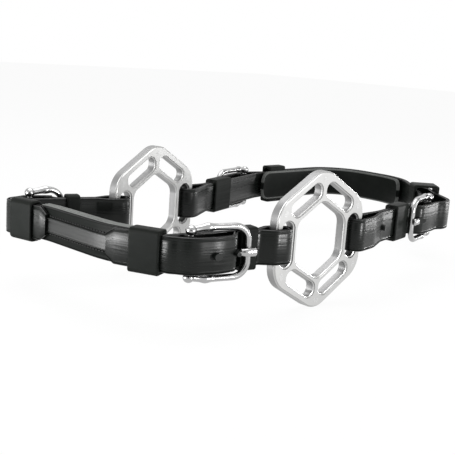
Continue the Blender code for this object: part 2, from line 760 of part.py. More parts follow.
def make_slide_keeper(corner, material):
    """Make the keeper that slides on the strap between the wheel and the buckle."""
    end = corner.end
    mesh = keeper_mesh(end, corner.slide, corner.slide_width, 0, 0, corner.name)
    keeper = link_object(corner.name + "_slide_keeper", mesh, material)
    set_origin(keeper, end.world(corner.slide + corner.slide_width / 2, 0, 0))
    return keeper


def make_fixed_keeper(corner, material):
    """Make the sewn keeper that holds the billet's tip."""
    mesh = keeper_mesh(corner.end, corner.fixed, corner.fixed_width, corner.loose, corner.rise, corner.name)
    return link_object(corner.name + "_fixed_keeper", mesh, material)


def make_band(name, route, start, finish, levels, width, material, end_radius):
    """Make a strip that follows a route between two offsets, with round ends if it has a radius."""
    low, high = levels
    span = finish - start

    def half_height(walked, total):
        edge = min(walked, total - walked)
        if edge >= end_radius:
            return width / 2
        drop = end_radius - math.sqrt(max(end_radius ** 2 - (end_radius - edge) ** 2, 0))
        return width / 2 - drop

    rings = []
    for distance in band_marks(route, start, finish, end_radius):
        half = half_height(distance - start, span)
        rings.append([(route.place(distance, high)).to_3d() + Vector((0, 0, half)),
                      (route.place(distance, high)).to_3d() - Vector((0, 0, half)),
                      (route.place(distance, low)).to_3d() - Vector((0, 0, half)),
                      (route.place(distance, low)).to_3d() + Vector((0, 0, half))])
    return link_object(name, loft_rings(rings, name), material)


def band_marks(route, start, finish, end_radius):
    """Return the distances at which a band has its rings, closer over its round ends."""
    rounds = []
    if end_radius > 0:
        turns = [math.pi / 2 * number / END_STEPS for number in range(END_STEPS)]
        rounds = [end_radius * (1 - math.cos(turn)) for turn in turns]
    marks = [start + mark for mark in rounds] + [start + end_radius]
    marks += route.stations_between(start + end_radius, finish - end_radius)
    marks += [finish - end_radius] + [finish - mark for mark in reversed(rounds)]
    return marks


def nose_corners(route):
    """Return the near and the off corner of the nose strap."""
    near = Corner("near_nose", StrapEnd(route, True), NEAR_NOSE_BAR, FRAME_LENGTH, NEAR_NOSE_SLIDE_OVERLAP,
                  NEAR_NOSE_SLIDE_WIDTH, NEAR_NOSE_FIXED_SETBACK, NEAR_NOSE_FIXED_WIDTH, NEAR_NOSE_TIP_LENGTH)
    off = Corner("off_nose", StrapEnd(route, False), OFF_NOSE_BAR, OFF_NOSE_FRAME_LENGTH,
                 OFF_NOSE_SLIDE_OVERLAP, OFF_NOSE_SLIDE_WIDTH, OFF_NOSE_FIXED_SETBACK, OFF_NOSE_FIXED_WIDTH,
                 OFF_NOSE_TIP_LENGTH)
    for corner, setback in ((near, NEAR_NOSE_SPARE_SETBACK), (off, OFF_NOSE_SPARE_SETBACK)):
        corner.reach = NOSE_FOLD_REACH
        corner.spare = Vector((corner.bar - setback, BILLET_TOP))
    return near, off


def chin_corners(route):
    """Return the off and the near corner of the chin strap."""
    off = Corner("off_chin", StrapEnd(route, True), OFF_CHIN_BAR, OFF_CHIN_FRAME_LENGTH,
                 OFF_CHIN_SLIDE_OVERLAP, OFF_CHIN_SLIDE_WIDTH, OFF_CHIN_FIXED_SETBACK, OFF_CHIN_FIXED_WIDTH,
                 OFF_CHIN_TIP_LENGTH)
    near = Corner("near_chin", StrapEnd(route, False), NEAR_CHIN_BAR, FRAME_LENGTH, NEAR_CHIN_SLIDE_OVERLAP,
                  NEAR_CHIN_SLIDE_WIDTH, NEAR_CHIN_FIXED_SETBACK, NEAR_CHIN_FIXED_WIDTH, NEAR_CHIN_TIP_LENGTH)
    for corner, setback in ((off, OFF_CHIN_SPARE_SETBACK), (near, NEAR_CHIN_SPARE_SETBACK)):
        corner.rise = CHIN_KEEPER_RISE
        corner.spare = Vector((corner.slide - setback, LAYER_MIDDLE))
    off.fold = OFF_CHIN_FOLD_LENGTH
    off.fold_gap = OPEN_PIVOT_CLEARANCE
    near.fold = NEAR_CHIN_FOLD_LENGTH
    near.swell = LOOSE_STRAP_SWELL
    near.loose = LOOSE_STRAP_SLACK
    return off, near


def make_nose_band(route, near, off):
    """Make the padded band over the nose: outer leather, raised strip and padding."""
    near_end = near.fixed + near.fixed_width
    off_end = route.length - off.fixed - off.fixed_width
    near_tip = near.tip + LAYER_GAP
    off_tip = route.length - off.tip - LAYER_GAP
    core = (-STACK_FACE, -LAYER_GAP / 2)
    top = (LAYER_GAP / 2, LAYER_GAP / 2 + RAISED_STRIP_THICKNESS)
    soft = (-STACK_FACE - LAYER_GAP - BAND_PADDING_THICKNESS, -STACK_FACE - LAYER_GAP)
    outer = make_band("nose_band_outer", route, near_end + LAYER_GAP, off_end - LAYER_GAP, core,
                      BAND_PADDING_WIDTH, leather_material("nose_band_leather", 0.022), 0)
    strip = make_band("nose_band_raised_strip", route, near_tip, off_tip, top,
                      RAISED_STRIP_WIDTH, leather_material("raised_strip_leather", 0.024), 0)
    padding = make_band("nose_band_padding", route, near_end + PADDING_SETBACK, off_end - PADDING_SETBACK,
                        soft, BAND_PADDING_WIDTH, leather_material("nose_band_padding_leather", 0.035), 0)
    return [outer, strip, padding]


def make_chin_band(route, off, near):
    """Make the chin strap's middle and the soft liner behind it, which covers one fixed keeper."""
    off_end = off.fixed + off.fixed_width
    near_end = route.length - near.fixed - near.fixed_width
    core = (-STACK_FACE, -LAYER_GAP / 2)
    band = make_band("chin_band", route, off_end + LAYER_GAP, near_end - LAYER_GAP, core, CHIN_BAND_WIDTH,
                     leather_material("chin_band_leather", 0.022), 0)
    face = -STACK_FACE - LAYER_GAP
    padding = leather_material("chin_liner_leather", 0.030)
    liner = make_band("chin_liner", route, off.fixed - LINER_OVER_KEEPER, near_end - LINER_SHORT_OF_KEEPER,
                      (face - CHIN_LINER_THICKNESS, face), CHIN_LINER_WIDTH, padding, CHIN_LINER_END_RADIUS)
    pocket = (face - KEEPER_WALL - LAYER_GAP, face + OVERRUN)
    cutter = make_band("cutter", route, off.fixed - LAYER_GAP, off_end + LAYER_GAP, pocket,
                       CHIN_LINER_WIDTH + OVERRUN, padding, 0)
    apply_boolean(liner, cutter, "DIFFERENCE")
    return [band, liner]


def make_corner(corner):
    """Make one buckled strap end and return the pieces that are sewn to its strap."""
    chrome = (0.80, 0.12)
    make_frame(corner, metal_material(corner.name + "_frame_chrome", *chrome))
    bar = make_bar(corner, metal_material(corner.name + "_bar_chrome", *chrome))
    make_prong(corner, metal_material(corner.name + "_prong_chrome", *chrome))
    make_slide_keeper(corner, leather_material(corner.name + "_slide_keeper_leather", 0.018))
    billet = make_billet(corner, leather_material(corner.name + "_billet_leather", 0.020))
    chape = make_chape(corner, leather_material(corner.name + "_chape_leather", 0.026))
    keeper = make_fixed_keeper(corner, leather_material(corner.name + "_fixed_keeper_leather", 0.018))
    return [billet, chape, bar, keeper]


def build():
    """Build the whole noseband. Each strap and the off wheel have their origins on their pivots."""
    clear_scene()
    satin = (0.72, 0.32)
    make_wheel("near_wheel", NEAR_CENTRE, 0, metal_material("near_wheel_steel", *satin))
    off_wheel = make_wheel("off_wheel", OFF_CENTRE, OFF_WHEEL_TURN, metal_material("off_wheel_steel", *satin))
    nose, chin = loop_routes()
    near_nose, off_nose = nose_corners(nose)
    off_chin, near_chin = chin_corners(chin)
    nose_pieces = make_corner(near_nose) + make_corner(off_nose) + make_nose_band(nose, near_nose, off_nose)
    chin_pieces = make_corner(off_chin) + make_corner(near_chin) + make_chin_band(chin, off_chin, near_chin)
    for item in nose_pieces:
        set_origin(item, near_nose.end.world(0, 0, 0))
    for item in chin_pieces:
        set_origin(item, near_chin.end.world(0, 0, 0))
    set_origin(off_wheel, off_nose.end.world(0, 0, 0))


build()
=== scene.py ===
import bisect
import math

import bmesh
import bpy
from mathutils import Matrix, Vector


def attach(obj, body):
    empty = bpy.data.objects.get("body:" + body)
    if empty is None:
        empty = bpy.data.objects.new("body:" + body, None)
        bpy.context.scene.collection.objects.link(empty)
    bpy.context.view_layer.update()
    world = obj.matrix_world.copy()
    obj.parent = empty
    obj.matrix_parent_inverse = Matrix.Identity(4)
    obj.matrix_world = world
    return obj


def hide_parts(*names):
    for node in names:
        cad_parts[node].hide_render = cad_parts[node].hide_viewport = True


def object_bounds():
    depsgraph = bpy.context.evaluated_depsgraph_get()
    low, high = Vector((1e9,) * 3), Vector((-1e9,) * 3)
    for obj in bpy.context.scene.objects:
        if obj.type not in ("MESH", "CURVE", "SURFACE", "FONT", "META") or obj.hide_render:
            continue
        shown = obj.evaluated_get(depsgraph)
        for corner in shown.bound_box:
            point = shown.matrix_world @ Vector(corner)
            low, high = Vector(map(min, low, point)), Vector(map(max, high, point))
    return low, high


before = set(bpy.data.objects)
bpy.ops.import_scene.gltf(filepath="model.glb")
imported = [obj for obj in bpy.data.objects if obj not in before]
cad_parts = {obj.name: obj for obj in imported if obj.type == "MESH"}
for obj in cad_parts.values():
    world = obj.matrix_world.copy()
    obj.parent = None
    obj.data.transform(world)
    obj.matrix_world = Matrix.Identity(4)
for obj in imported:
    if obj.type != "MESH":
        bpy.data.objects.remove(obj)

cad_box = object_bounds()

# The camera looks a little down on the near wheel from its nose side, as the photograph does, with
# a long lens.
CAMERA_PLACE = Vector((-0.3589, -0.3797, 0.1050))
CAMERA_FORWARD = Vector((0.67148, 0.71254, -0.20347)).normalized()
CAMERA_UP = Vector((0.08897, 0.19509, 0.97674))
LENS_MM = 67.25
SENSOR_MM = 36
NEAREST_SEEN = 0.01


def add_object(name, data):
    """Add an object that holds this data to the scene."""
    thing = bpy.data.objects.new(name, data)
    bpy.context.scene.collection.objects.link(thing)
    return thing


camera_data = bpy.data.cameras.new("camera")
camera_data.lens = LENS_MM
camera_data.sensor_width = SENSOR_MM
camera_data.clip_start = NEAREST_SEEN
camera = add_object("camera", camera_data)
camera_right = CAMERA_FORWARD.cross(CAMERA_UP).normalized()
turn = Matrix((camera_right, camera_right.cross(CAMERA_FORWARD), -CAMERA_FORWARD)).transposed()
camera.matrix_world = Matrix.Translation(CAMERA_PLACE) @ turn.to_4x4()
bpy.context.scene.camera = camera
bpy.context.scene.view_settings.view_transform = "Standard"

# The table is a pale sheet just under the wheels' lowest corners. It shows white to the camera and
# to polished metal, and keeps a soft shadow.
FLOOR_DROP = 0.0004
FLOOR_WIDTH = 8.0
FLOOR_COLOUR = (0.88, 0.88, 0.88)
FLOOR_ROUGHNESS = 0.9
FLOOR_WHITENESS = 0.94


def set_inputs(node, values):
    """Set a node's inputs to plain values, each by the input's name."""
    for label, value in values.items():
        node.inputs[label].default_value = value


def add_node(tree, kind, values=None, **settings):
    """Add a shader node: its settings first, then the values of its inputs."""
    node = tree.nodes.new("ShaderNode" + kind)
    for label, setting in settings.items():
        setattr(node, label, setting)
    set_inputs(node, values or {})
    return node


def join(tree, *joins):
    """Join nodes. Each join names a node, its output, the next node and its input."""
    for source, way_out, target, way_in in joins:
        tree.links.new(source.outputs[way_out], target.inputs[way_in])


def start_material(name, values):
    """Return a new material, its node tree and its surface, with plain values set on the surface."""
    material = bpy.data.materials.new(name)
    material.use_nodes = True
    surface = material.node_tree.nodes["Principled BSDF"]
    set_inputs(surface, values)
    return material, material.node_tree, surface


def seen_rays(tree):
    """Return a node that gives 1 to the camera, to mirrors and through glass, and 0 elsewhere."""
    rays = add_node(tree, "LightPath")
    mirrored = add_node(tree, "Math", operation="MAXIMUM")
    seen = add_node(tree, "Math", operation="MAXIMUM")
    join(tree, (rays, "Is Glossy Ray", mirrored, 0), (rays, "Is Transmission Ray", mirrored, 1),
         (rays, "Is Camera Ray", seen, 0), (mirrored, 0, seen, 1))
    return seen


def mesh_object(mesh, name):
    """Turn a bmesh into an object."""
    data = bpy.data.meshes.new(name)
    mesh.to_mesh(data)
    mesh.free()
    return add_object(name, data)


def flat_sheet(name, width, height, facing, place, material):
    """Add a flat sheet that isn't part of the object."""
    mesh = bmesh.new()
    bmesh.ops.create_grid(mesh, x_segments=1, y_segments=1, size=0.5)
    bmesh.ops.scale(mesh, verts=mesh.verts, vec=(width, height, 1))
    bmesh.ops.rotate(mesh, verts=mesh.verts, cent=(0, 0, 0), matrix=facing)
    bmesh.ops.translate(mesh, verts=mesh.verts, vec=place)
    sheet = mesh_object(mesh, name)
    sheet.data.materials.append(material)
    return sheet


floor_paint, tree, table_surface = start_material(
    "pale_table", {"Base Color": (*FLOOR_COLOUR, 1), "Roughness": FLOOR_ROUGHNESS})
share = add_node(tree, "Math", {1: FLOOR_WHITENESS}, operation="MULTIPLY")
glow = add_node(tree, "Emission")
blend = add_node(tree, "MixShader")
join(tree, (seen_rays(tree), 0, share, 0), (share, 0, blend, 0), (table_surface, 0, blend, 1),
     (glow, 0, blend, 2), (blend, 0, tree.nodes["Material Output"], "Surface"))
floor_place = (0, 0, cad_box[0][2] - FLOOR_DROP)
flat_sheet("floor", FLOOR_WIDTH, FLOOR_WIDTH, Matrix.Identity(3), floor_place, floor_paint)

# The room is white to the camera and in mirrored surfaces, and a plain grey light elsewhere. Two
# black cards stand out of the camera's view, so that polished metal has something dark to mirror.
ROOM_LIGHT = 0.34
CARDS = (("card_behind_camera", (-0.95, -1.02, 0.35), (0, 0, 0.05), 0.62, 0.80),
         ("card_at_right", (0.95, -0.25, 0.20), (0.05, 0, 0), 0.35, 0.70))
CARD_BLACK = (0.01, 0.01, 0.01)

world = bpy.data.worlds.new("white_room")
bpy.context.scene.world = world
world.use_nodes = True
tree = world.node_tree
room = tree.nodes["Background"]
room.inputs["Color"].default_value = (1, 1, 1, 1)
level = add_node(tree, "MapRange", {"To Min": ROOM_LIGHT, "To Max": 1})
join(tree, (seen_rays(tree), 0, level, "Value"), (level, 0, room, "Strength"))

card_black, _, _ = start_material("black_card", {"Base Color": (*CARD_BLACK, 1), "Roughness": 1})
for name, place, aim, width, height in CARDS:
    facing = (Vector(aim) - Vector(place)).to_track_quat("Z", "Y").to_matrix()
    card = flat_sheet(name, width, height, facing, place, card_black)
    card.visible_camera = False
    card.visible_diffuse = False
    card.visible_shadow = False

# Five lamps: a wide one above, a large low one at the nose side, a small one on the table near the
# nose band, and two low upright strips at the right, whose streaks run down the leather's bends.
LAMPS = (("top_lamp", (0.05, 0.15, 0.90), (0, 0, 0), 0.80, 0.80, 8.0),
         ("nose_side_lamp", (-1.08, 0.19, 0.07), (-0.10, 0, 0.03), 0.32, 0.22, 6.0),
         ("nose_low_lamp", (-0.325, 0.080, -0.014), (-0.115, 0.040, -0.002), 0.16, 0.05, 0.6),
         ("right_strip", (0.31, -0.97, 0.07), (-0.05, -0.05, 0.03), 0.08, 0.22, 8.0),
         ("far_right_strip", (1.06, -0.29, 0.07), (0.08, -0.03, 0.03), 0.06, 0.22, 4.5))

for name, place, aim, width, height, power in LAMPS:
    lamp_data = bpy.data.lights.new(name, "AREA")
    lamp_data.shape = "RECTANGLE"
    lamp_data.size = width
    lamp_data.size_y = height
    lamp_data.energy = power
    lamp = add_object(name, lamp_data)
    lamp.location = place
    lamp.rotation_euler = (Vector(aim) - Vector(place)).to_track_quat("-Z", "Y").to_euler()

# Wheels. Each is a flat plate of satin-finished steel with a six-sided middle and six strap slots.
# It is milled from plate, its edges rounded over and left bright, and its cut walls left brushed.
LOOP_WIDTH = 0.1189
WHEEL_STAGGER = 0.0307
OFF_WHEEL_TURN = math.radians(9.9)
WHEEL_ACROSS_FLATS = 0.0750
WHEEL_CORNER_RADIUS = 0.0160
WHEEL_THICKNESS = 0.0070
CENTRE_HOLE_ACROSS_FLATS = 0.0410
CENTRE_HOLE_CORNER_RADIUS = 0.0080
RIM_BAR_WIDTH = 0.0046
INNER_BAR_WIDTH = 0.0033
SLOT_WEB_WIDTH = 0.0045
SLOT_CORNER_RADIUS = 0.0042
WHEEL_EDGE_STEPS = ((0.00040, 0.00014), (0.00032, 0.00028), (0.00018, 0.00048))
WALL_SLOPE = 0.3
WHEEL_SIDES = 6
SIDE_TURN = 2 * math.pi / WHEEL_SIDES
ARC_STEP = math.radians(3)
SATIN_STEEL = (0.46, 0.46, 0.455)
# The walls' steel is darker than the faces' satin steel: painted shade, on top of their rougher, brushed
# finish.
SHADED_CUT_STEEL = (0.29, 0.29, 0.29)
SCRATCH_STRETCH = (1, 1, 7)
SCRATCH_DEPTH = 0.00004
WEAR_CLOUD_SIZE = 90
WEAR_SHADE = 0.90
NOISE_SPREAD = {"From Min": 0.3, "From Max": 0.7}
NEAR_CENTRE = Vector((WHEEL_STAGGER / 2, -LOOP_WIDTH / 2))
OFF_CENTRE = -NEAR_CENTRE
WHEELS = (("near_wheel", NEAR_CENTRE, 0), ("off_wheel", OFF_CENTRE, OFF_WHEEL_TURN))


def left(heading):
    """Return a plan direction turned a quarter to the left."""
    return Vector((-heading.y, heading.x))


class Line:
    """A line of straight runs and round bends, read by the distance along it."""

    def __init__(self, corners, radii):
        corners = [Vector(corner) for corner in corners]
        self.spots = [(corners[0], (corners[1] - corners[0]).normalized())]
        for index, radius in enumerate(radii, start=1):
            before = (corners[index] - corners[index - 1]).normalized()
            after = (corners[index + 1] - corners[index]).normalized()
            bend = math.atan2(before.cross(after), before.dot(after))
            side = math.copysign(1, bend)
            start = corners[index] - before * radius * math.tan(abs(bend) / 2)
            centre = start + left(before) * radius * side
            count = max(1, math.ceil(abs(bend) / ARC_STEP))
            for number in range(count + 1):
                turn = Matrix.Rotation(bend * number / count, 2)
                self.spots.append((centre - turn @ left(before) * radius * side, turn @ before))
        self.spots.append((corners[-1], (corners[-1] - corners[-2]).normalized()))
        self.marks = [0]
        for (first, _), (second, _) in zip(self.spots, self.spots[1:]):
            self.marks.append(self.marks[-1] + (second - first).length)
        self.length = self.marks[-1]

    def at(self, distance):
        """Return the point and the heading at a distance along the line."""
        index = min(max(bisect.bisect_right(self.marks, distance) - 1, 0), len(self.spots) - 2)
        first, second = self.spots[index], self.spots[index + 1]
        span = self.marks[index + 1] - self.marks[index]
        part = (distance - self.marks[index]) / span if span > 0 else 0
        heading = first[1].lerp(second[1], min(max(part, 0), 1)).normalized()
        return first[0] + (second[0] - first[0]) * part, heading

    def places(self, step):
        """Return even distances along the whole line, about a step apart."""
        steps = round(self.length / step)
        return [self.length * number / steps for number in range(steps + 1)]

    def distance_to(self, place):
        """Return the last distance at which the line passes a place along X."""
        for index in range(len(self.spots) - 1, 0, -1):
            low, high = self.spots[index - 1][0].x, self.spots[index][0].x
            if low <= place <= high and high > low:
                share = (place - low) / (high - low)
                return self.marks[index - 1] + share * (self.marks[index] - self.marks[index - 1])
        return 0


def add_outline(mesh, corners, radius):
    """Add a closed outline with rounded corners, drawn in the XZ plane."""
    corners = [Vector(corner) for corner in corners]
    start = (corners[-1] + corners[0]) / 2
    line = Line([start, *corners, start], [radius] * len(corners))
    points = [mesh.verts.new((spot.x, 0, spot.y)) for spot, _ in line.spots[1:-1]]
    for first, second in zip(points, points[1:] + points[:1]):
        mesh.edges.new((first, second))


def hexagon(across_flats):
    """Return the corners of a hexagon that stands on a point."""
    reach = across_flats / math.sqrt(3)
    return [(reach * math.sin(SIDE_TURN * number), reach * math.cos(SIDE_TURN * number))
            for number in range(WHEEL_SIDES)]


def slot_corners(number):
    """Return the corners of the strap slot on one side of the wheel."""
    outer = WHEEL_ACROSS_FLATS / 2 - RIM_BAR_WIDTH
    inner = CENTRE_HOLE_ACROSS_FLATS / 2 + INNER_BAR_WIDTH
    web = SLOT_WEB_WIDTH / 2 / math.cos(SIDE_TURN / 2)
    corners = []
    for depth, side in ((outer, -1), (outer, 1), (inner, 1), (inner, -1)):
        corner = Vector((depth, side * (depth * math.tan(SIDE_TURN / 2) - web)))
        corner.rotate(Matrix.Rotation(SIDE_TURN * number, 2))
        corners.append(tuple(corner))
    return corners


def finish_mesh(mesh, name, sharp):
    """Turn a bmesh into a piece at the origin, smooth except at edges past the sharp angle."""
    bmesh.ops.recalc_face_normals(mesh, faces=mesh.faces)
    piece = mesh_object(mesh, name)
    piece.data.polygons.foreach_set("use_smooth", [True] * len(piece.data.polygons))
    piece.data.set_sharp_from_angle(angle=math.radians(sharp))
    return piece


def dress(piece, material, body, slot, *nodes):
    """Give a piece its material, tie it to its CAD body and hide the CAD nodes that it stands in for."""
    piece.data.materials.append(material)
    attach(piece, body)
    if nodes:
        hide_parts(*nodes)


def thicken(mesh, faces, step):
    """Give flat faces a thickness along a step, and return their copies at its end."""
    grown = bmesh.ops.extrude_face_region(mesh, geom=faces, use_keep_orig=True)["geom"]
    moved = [item for item in grown if isinstance(item, bmesh.types.BMVert)]
    bmesh.ops.translate(mesh, verts=moved, vec=step)
    return [item for item in grown if isinstance(item, bmesh.types.BMFace)]


def make_wheel(name, centre, turn):
    """Make one plate: outlines, flat fill, thickness and rounded edges."""
    mesh = bmesh.new()
    add_outline(mesh, hexagon(WHEEL_ACROSS_FLATS), WHEEL_CORNER_RADIUS)
    add_outline(mesh, hexagon(CENTRE_HOLE_ACROSS_FLATS), CENTRE_HOLE_CORNER_RADIUS)
    for number in range(WHEEL_SIDES):
        add_outline(mesh, slot_corners(number), SLOT_CORNER_RADIUS)
    bmesh.ops.triangle_fill(mesh, use_beauty=True, edges=mesh.edges)
    edge_depth = sum(depth for _, depth in WHEEL_EDGE_STEPS)
    bmesh.ops.translate(mesh, verts=mesh.verts, vec=(0, edge_depth - WHEEL_THICKNESS / 2, 0))
    front = list(mesh.faces)
    back = thicken(mesh, front, (0, WHEEL_THICKNESS - 2 * edge_depth, 0))
    bmesh.ops.recalc_face_normals(mesh, faces=mesh.faces)
    for cap in (front, back):
        for width, depth in WHEEL_EDGE_STEPS:
            bmesh.ops.inset_region(mesh, faces=cap, thickness=width, depth=depth, use_even_offset=True,
                                   use_boundary=True)
    bmesh.ops.rotate(mesh, verts=mesh.verts, cent=(0, 0, 0), matrix=Matrix.Rotation(turn, 3, "Z"))
    bmesh.ops.translate(mesh, verts=mesh.verts, vec=centre.to_3d())
    return finish_mesh(mesh, name, sharp=25)


def start_group(name, entries, exits):
    """Return a new node group with these inputs and outputs, and its two end nodes."""
    group = bpy.data.node_groups.new(name, "ShaderNodeTree")
    for labels, direction in ((entries, "INPUT"), (exits, "OUTPUT")):
        for label in labels:
            group.interface.new_socket(label, in_out=direction, socket_type="NodeSocketFloat")
    return group, group.nodes.new("NodeGroupInput"), group.nodes.new("NodeGroupOutput")


def metal_wear_group():
    """Return the node group for fine scratches and cloudy wear on metal."""
    group, entry, leave = start_group("metal_wear", ["Scratch size"], ["Scratches", "Clouds"])
    place = add_node(group, "TexCoord")
    stretched = add_node(group, "Mapping", {"Scale": SCRATCH_STRETCH})
    scratches = add_node(group, "TexNoise", {"Detail": 6})
    clouds = add_node(group, "TexNoise", {"Scale": WEAR_CLOUD_SIZE, "Detail": 3})
    join(group, (place, "Object", stretched, "Vector"), (stretched, "Vector", scratches, "Vector"),
         (entry, "Scratch size", scratches, "Scale"), (place, "Object", clouds, "Vector"),
         (scratches, "Fac", leave, "Scratches"), (clouds, "Fac", leave, "Clouds"))
    return group


METAL_WEAR = metal_wear_group()


def shaded(colour, share):
    """Return a colour made darker or lighter by a share, as a node takes it."""
    return (*(part * share for part in colour), 1)


def metal(name, colour, dull, bright, scratch_size, bump):
    """Return a worn bare metal: its roughness runs from bright to dull with the scratches."""
    material, tree, surface = start_material(name, {"Metallic": 1})
    wear = add_node(tree, "Group", {"Scratch size": scratch_size}, node_tree=METAL_WEAR)
    tint = add_node(tree, "Mix", {"A": shaded(colour, WEAR_SHADE), "B": shaded(colour, 1)},
                    data_type="RGBA")
    dullness = add_node(tree, "MapRange", {**NOISE_SPREAD, "To Min": bright, "To Max": dull})
    relief = add_node(tree, "Bump", {"Strength": bump, "Distance": SCRATCH_DEPTH})
    join(tree, (wear, "Clouds", tint, "Factor"), (tint, "Result", surface, "Base Color"),
         (wear, "Scratches", dullness, "Value"), (dullness, "Result", surface, "Roughness"),
         (wear, "Scratches", relief, "Height"), (relief, "Normal", surface, "Normal"))
    return material


for name, centre, turn in WHEELS:
    wheel = make_wheel(name + "_plate", centre, turn)
    satin = metal(name + "_satin_steel", SATIN_STEEL, dull=0.38, bright=0.36, scratch_size=900, bump=0.2)
    dress(wheel, satin, name, "wheel_steel", name)
    # The walls, the faces that stand across the plate, take the darker steel, which is painted shade;
    # their roughness and scratches are the brushed finish.
    cut = metal(name + "_shaded_cut_steel", SHADED_CUT_STEEL, dull=0.46, bright=0.38, scratch_size=1600, bump=0.5)
    wheel.data.materials.append(cut)
    for face in wheel.data.polygons:
        face.material_index = int(abs(face.normal.y) < WALL_SLOPE)

# Numbers. A small plain number is stamped at each corner of both faces of each wheel, its foot
# towards the middle.
NUMBER_HEIGHT = 0.0036
NUMBER_REACH = 0.0362
NUMBER_DEPTH = 0.00004
STAMPED_STEEL = (0.50, 0.50, 0.50)


def applied_mesh(thing):
    """Return a new mesh of an object with its curve or modifiers applied."""
    return bpy.data.meshes.new_from_object(thing.evaluated_get(bpy.context.evaluated_depsgraph_get()))


def curve_mesh(name, curve):
    """Return a curve or a line of text as a mesh."""
    thing = add_object(name, curve)
    data = applied_mesh(thing)
    bpy.data.objects.remove(thing, do_unlink=True)
    return data


def make_number(text, face, corner, centre, turn, name):
    """Make one stamped number, flat in the wheel's face."""
    curve = bpy.data.curves.new(name, "FONT")
    curve.body = text
    curve.size = NUMBER_HEIGHT
    curve.align_x = "CENTER"
    curve.align_y = "CENTER"
    curve.extrude = NUMBER_DEPTH
    curve.resolution_u = 3
    data = curve_mesh(name, curve)
    upright = Matrix.Rotation(math.pi / 2, 4, "X")
    facing = Matrix.Rotation(0 if face < 0 else math.pi, 4, "Z")
    lift = Matrix.Translation((0, face * (WHEEL_THICKNESS / 2 + NUMBER_DEPTH / 2), NUMBER_REACH))
    spread = Matrix.Rotation(SIDE_TURN * corner, 4, "Y")
    seat = Matrix.Translation(centre.to_3d()) @ Matrix.Rotation(turn, 4, "Z")
    data.transform(seat @ spread @ lift @ facing @ upright)
    return add_object(name, data)


for name, centre, turn in WHEELS:
    stamp = metal(name + "_stamped_number", STAMPED_STEEL, dull=0.55, bright=0.45, scratch_size=1400,
                  bump=0.2)
    for face, side in ((-1, "front"), (1, "back")):
        for corner in range(WHEEL_SIDES):
            number = make_number(f"0{corner + 1}", face, corner, centre, turn,
                                 f"{name}_number_{side}_{corner + 1}")
            dress(number, stamp, name, "wheel_steel")

# Billets. Each strap end is one flat length of black bridle leather with rounded, burnished edges
# and pressed crease lines. It folds round the wheel's rim bar and is buckled back on itself.
NOSE_LENGTH = 0.1210
CHIN_LENGTH = 0.2130
NOSE_ROUTE_SHARES = ((-0.847, 0.100), (-0.975, 0.381), (-1.000, 0.851), (-1.063, 1.113))
NOSE_RADII = (0.0034, 0.0700, 0.0700, 0.0034)
CHIN_ROUTE_SHARES = ((0.516, 1.382), (0.981, 1.390), (1.000, 0.785), (0.704, 0.209))
CHIN_RADII = (0.0600, 0.0360, 0.0500, 0.0120)
RIM_BAR_REACH = (WHEEL_ACROSS_FLATS - RIM_BAR_WIDTH) / 2
STRAP_WIDTH = 0.0200
LEATHER_THICKNESS = 0.0025
LAYER_GAP = 0.0003
LAYER_MIDDLE = (LEATHER_THICKNESS + LAYER_GAP) / 2
FOLD_STRAIGHT = 0.0032
BULGE_SHARE = 0.42
STRAP_BEND_RADIUS = 0.0030
RIM_BAR_HALF_DIAGONAL = math.hypot(RIM_BAR_WIDTH, WHEEL_THICKNESS) / 2
BILLET_RISE_START = 0.0045
BILLET_RISE_LENGTH = 0.0055
BILLET_SHOULDER_RADIUS = 0.0045
BILLET_ARCH_SHARE = 0.42
BILLET_SETTLE = 0.0022
SWELL_DISTANCE = 0.0120
SWELL_RADIUS = 0.0220
FRAME_LENGTH = 0.0345
BAR_HEIGHT = 0.0042
CHAPE_THICKNESS = 0.0016
BAR_RADIUS = 0.0015
CHAPE_TURN_RADIUS = BAR_RADIUS + LAYER_GAP + CHAPE_THICKNESS / 2
BILLET_TOP = BAR_HEIGHT + CHAPE_TURN_RADIUS + CHAPE_THICKNESS / 2 + LAYER_GAP + LEATHER_THICKNESS / 2
TIP_POINT_LENGTH = 0.0052
TIP_POINT_WIDTH = 0.0125
PRONG_CROSSING_SHARE = 0.66
BILLET_HOLE_LENGTH = 0.0066
BILLET_HOLE_WIDTH = 0.0038
SPARE_HOLE_RADIUS = 0.0020
STRAP_STEP = 0.0009
CREASE_PLACES = (0.0021,)
CREASE_WIDTH = 0.0008
CREASE_DEPTH = 0.00016
STRAP_EDGE_RADIUS = 0.0007
STRAP_EDGE_STEPS = 4
MERGE_DISTANCE = 0.000001
BILLET_BLACK = (0.0040, 0.0050, 0.0043)
LEATHER_CLOUD_SIZE = 140
LEATHER_CLOUD_SHADES = (0.70, 1.35)
STREAK_SIZE = 800
STREAK_STRETCH = (0.03, 1, 1)
STREAK_RELIEF = 0.0004
STREAK_POLISH = (-0.09, 0.12)
PEBBLE_RELIEF = 0.0001
# Band along both long edges of a strap that takes the edge colour: a painted highlight, partly the edge
# finish's own tone.
EDGE_FINISH_AND_HIGHLIGHT_BAND = {"From Min": 0.95, "From Max": 0.99}


def strap_routes():
    """Return the nose line, near to off, and the chin line, off to near."""
    near_bar = Vector((RIM_BAR_REACH, 0))
    off_bar = Matrix.Rotation(OFF_WHEEL_TURN, 2) @ near_bar
    nose = [NEAR_CENTRE + Vector((x * NOSE_LENGTH, y * LOOP_WIDTH)) for x, y in NOSE_ROUTE_SHARES]
    chin = [NEAR_CENTRE + Vector((x * CHIN_LENGTH, y * LOOP_WIDTH)) for x, y in CHIN_ROUTE_SHARES]
    return (Line([NEAR_CENTRE - near_bar, *nose, OFF_CENTRE - off_bar], NOSE_RADII),
            Line([OFF_CENTRE + off_bar, *chin, NEAR_CENTRE + near_bar], CHIN_RADII))


NOSE_LINE, CHIN_LINE = strap_routes()


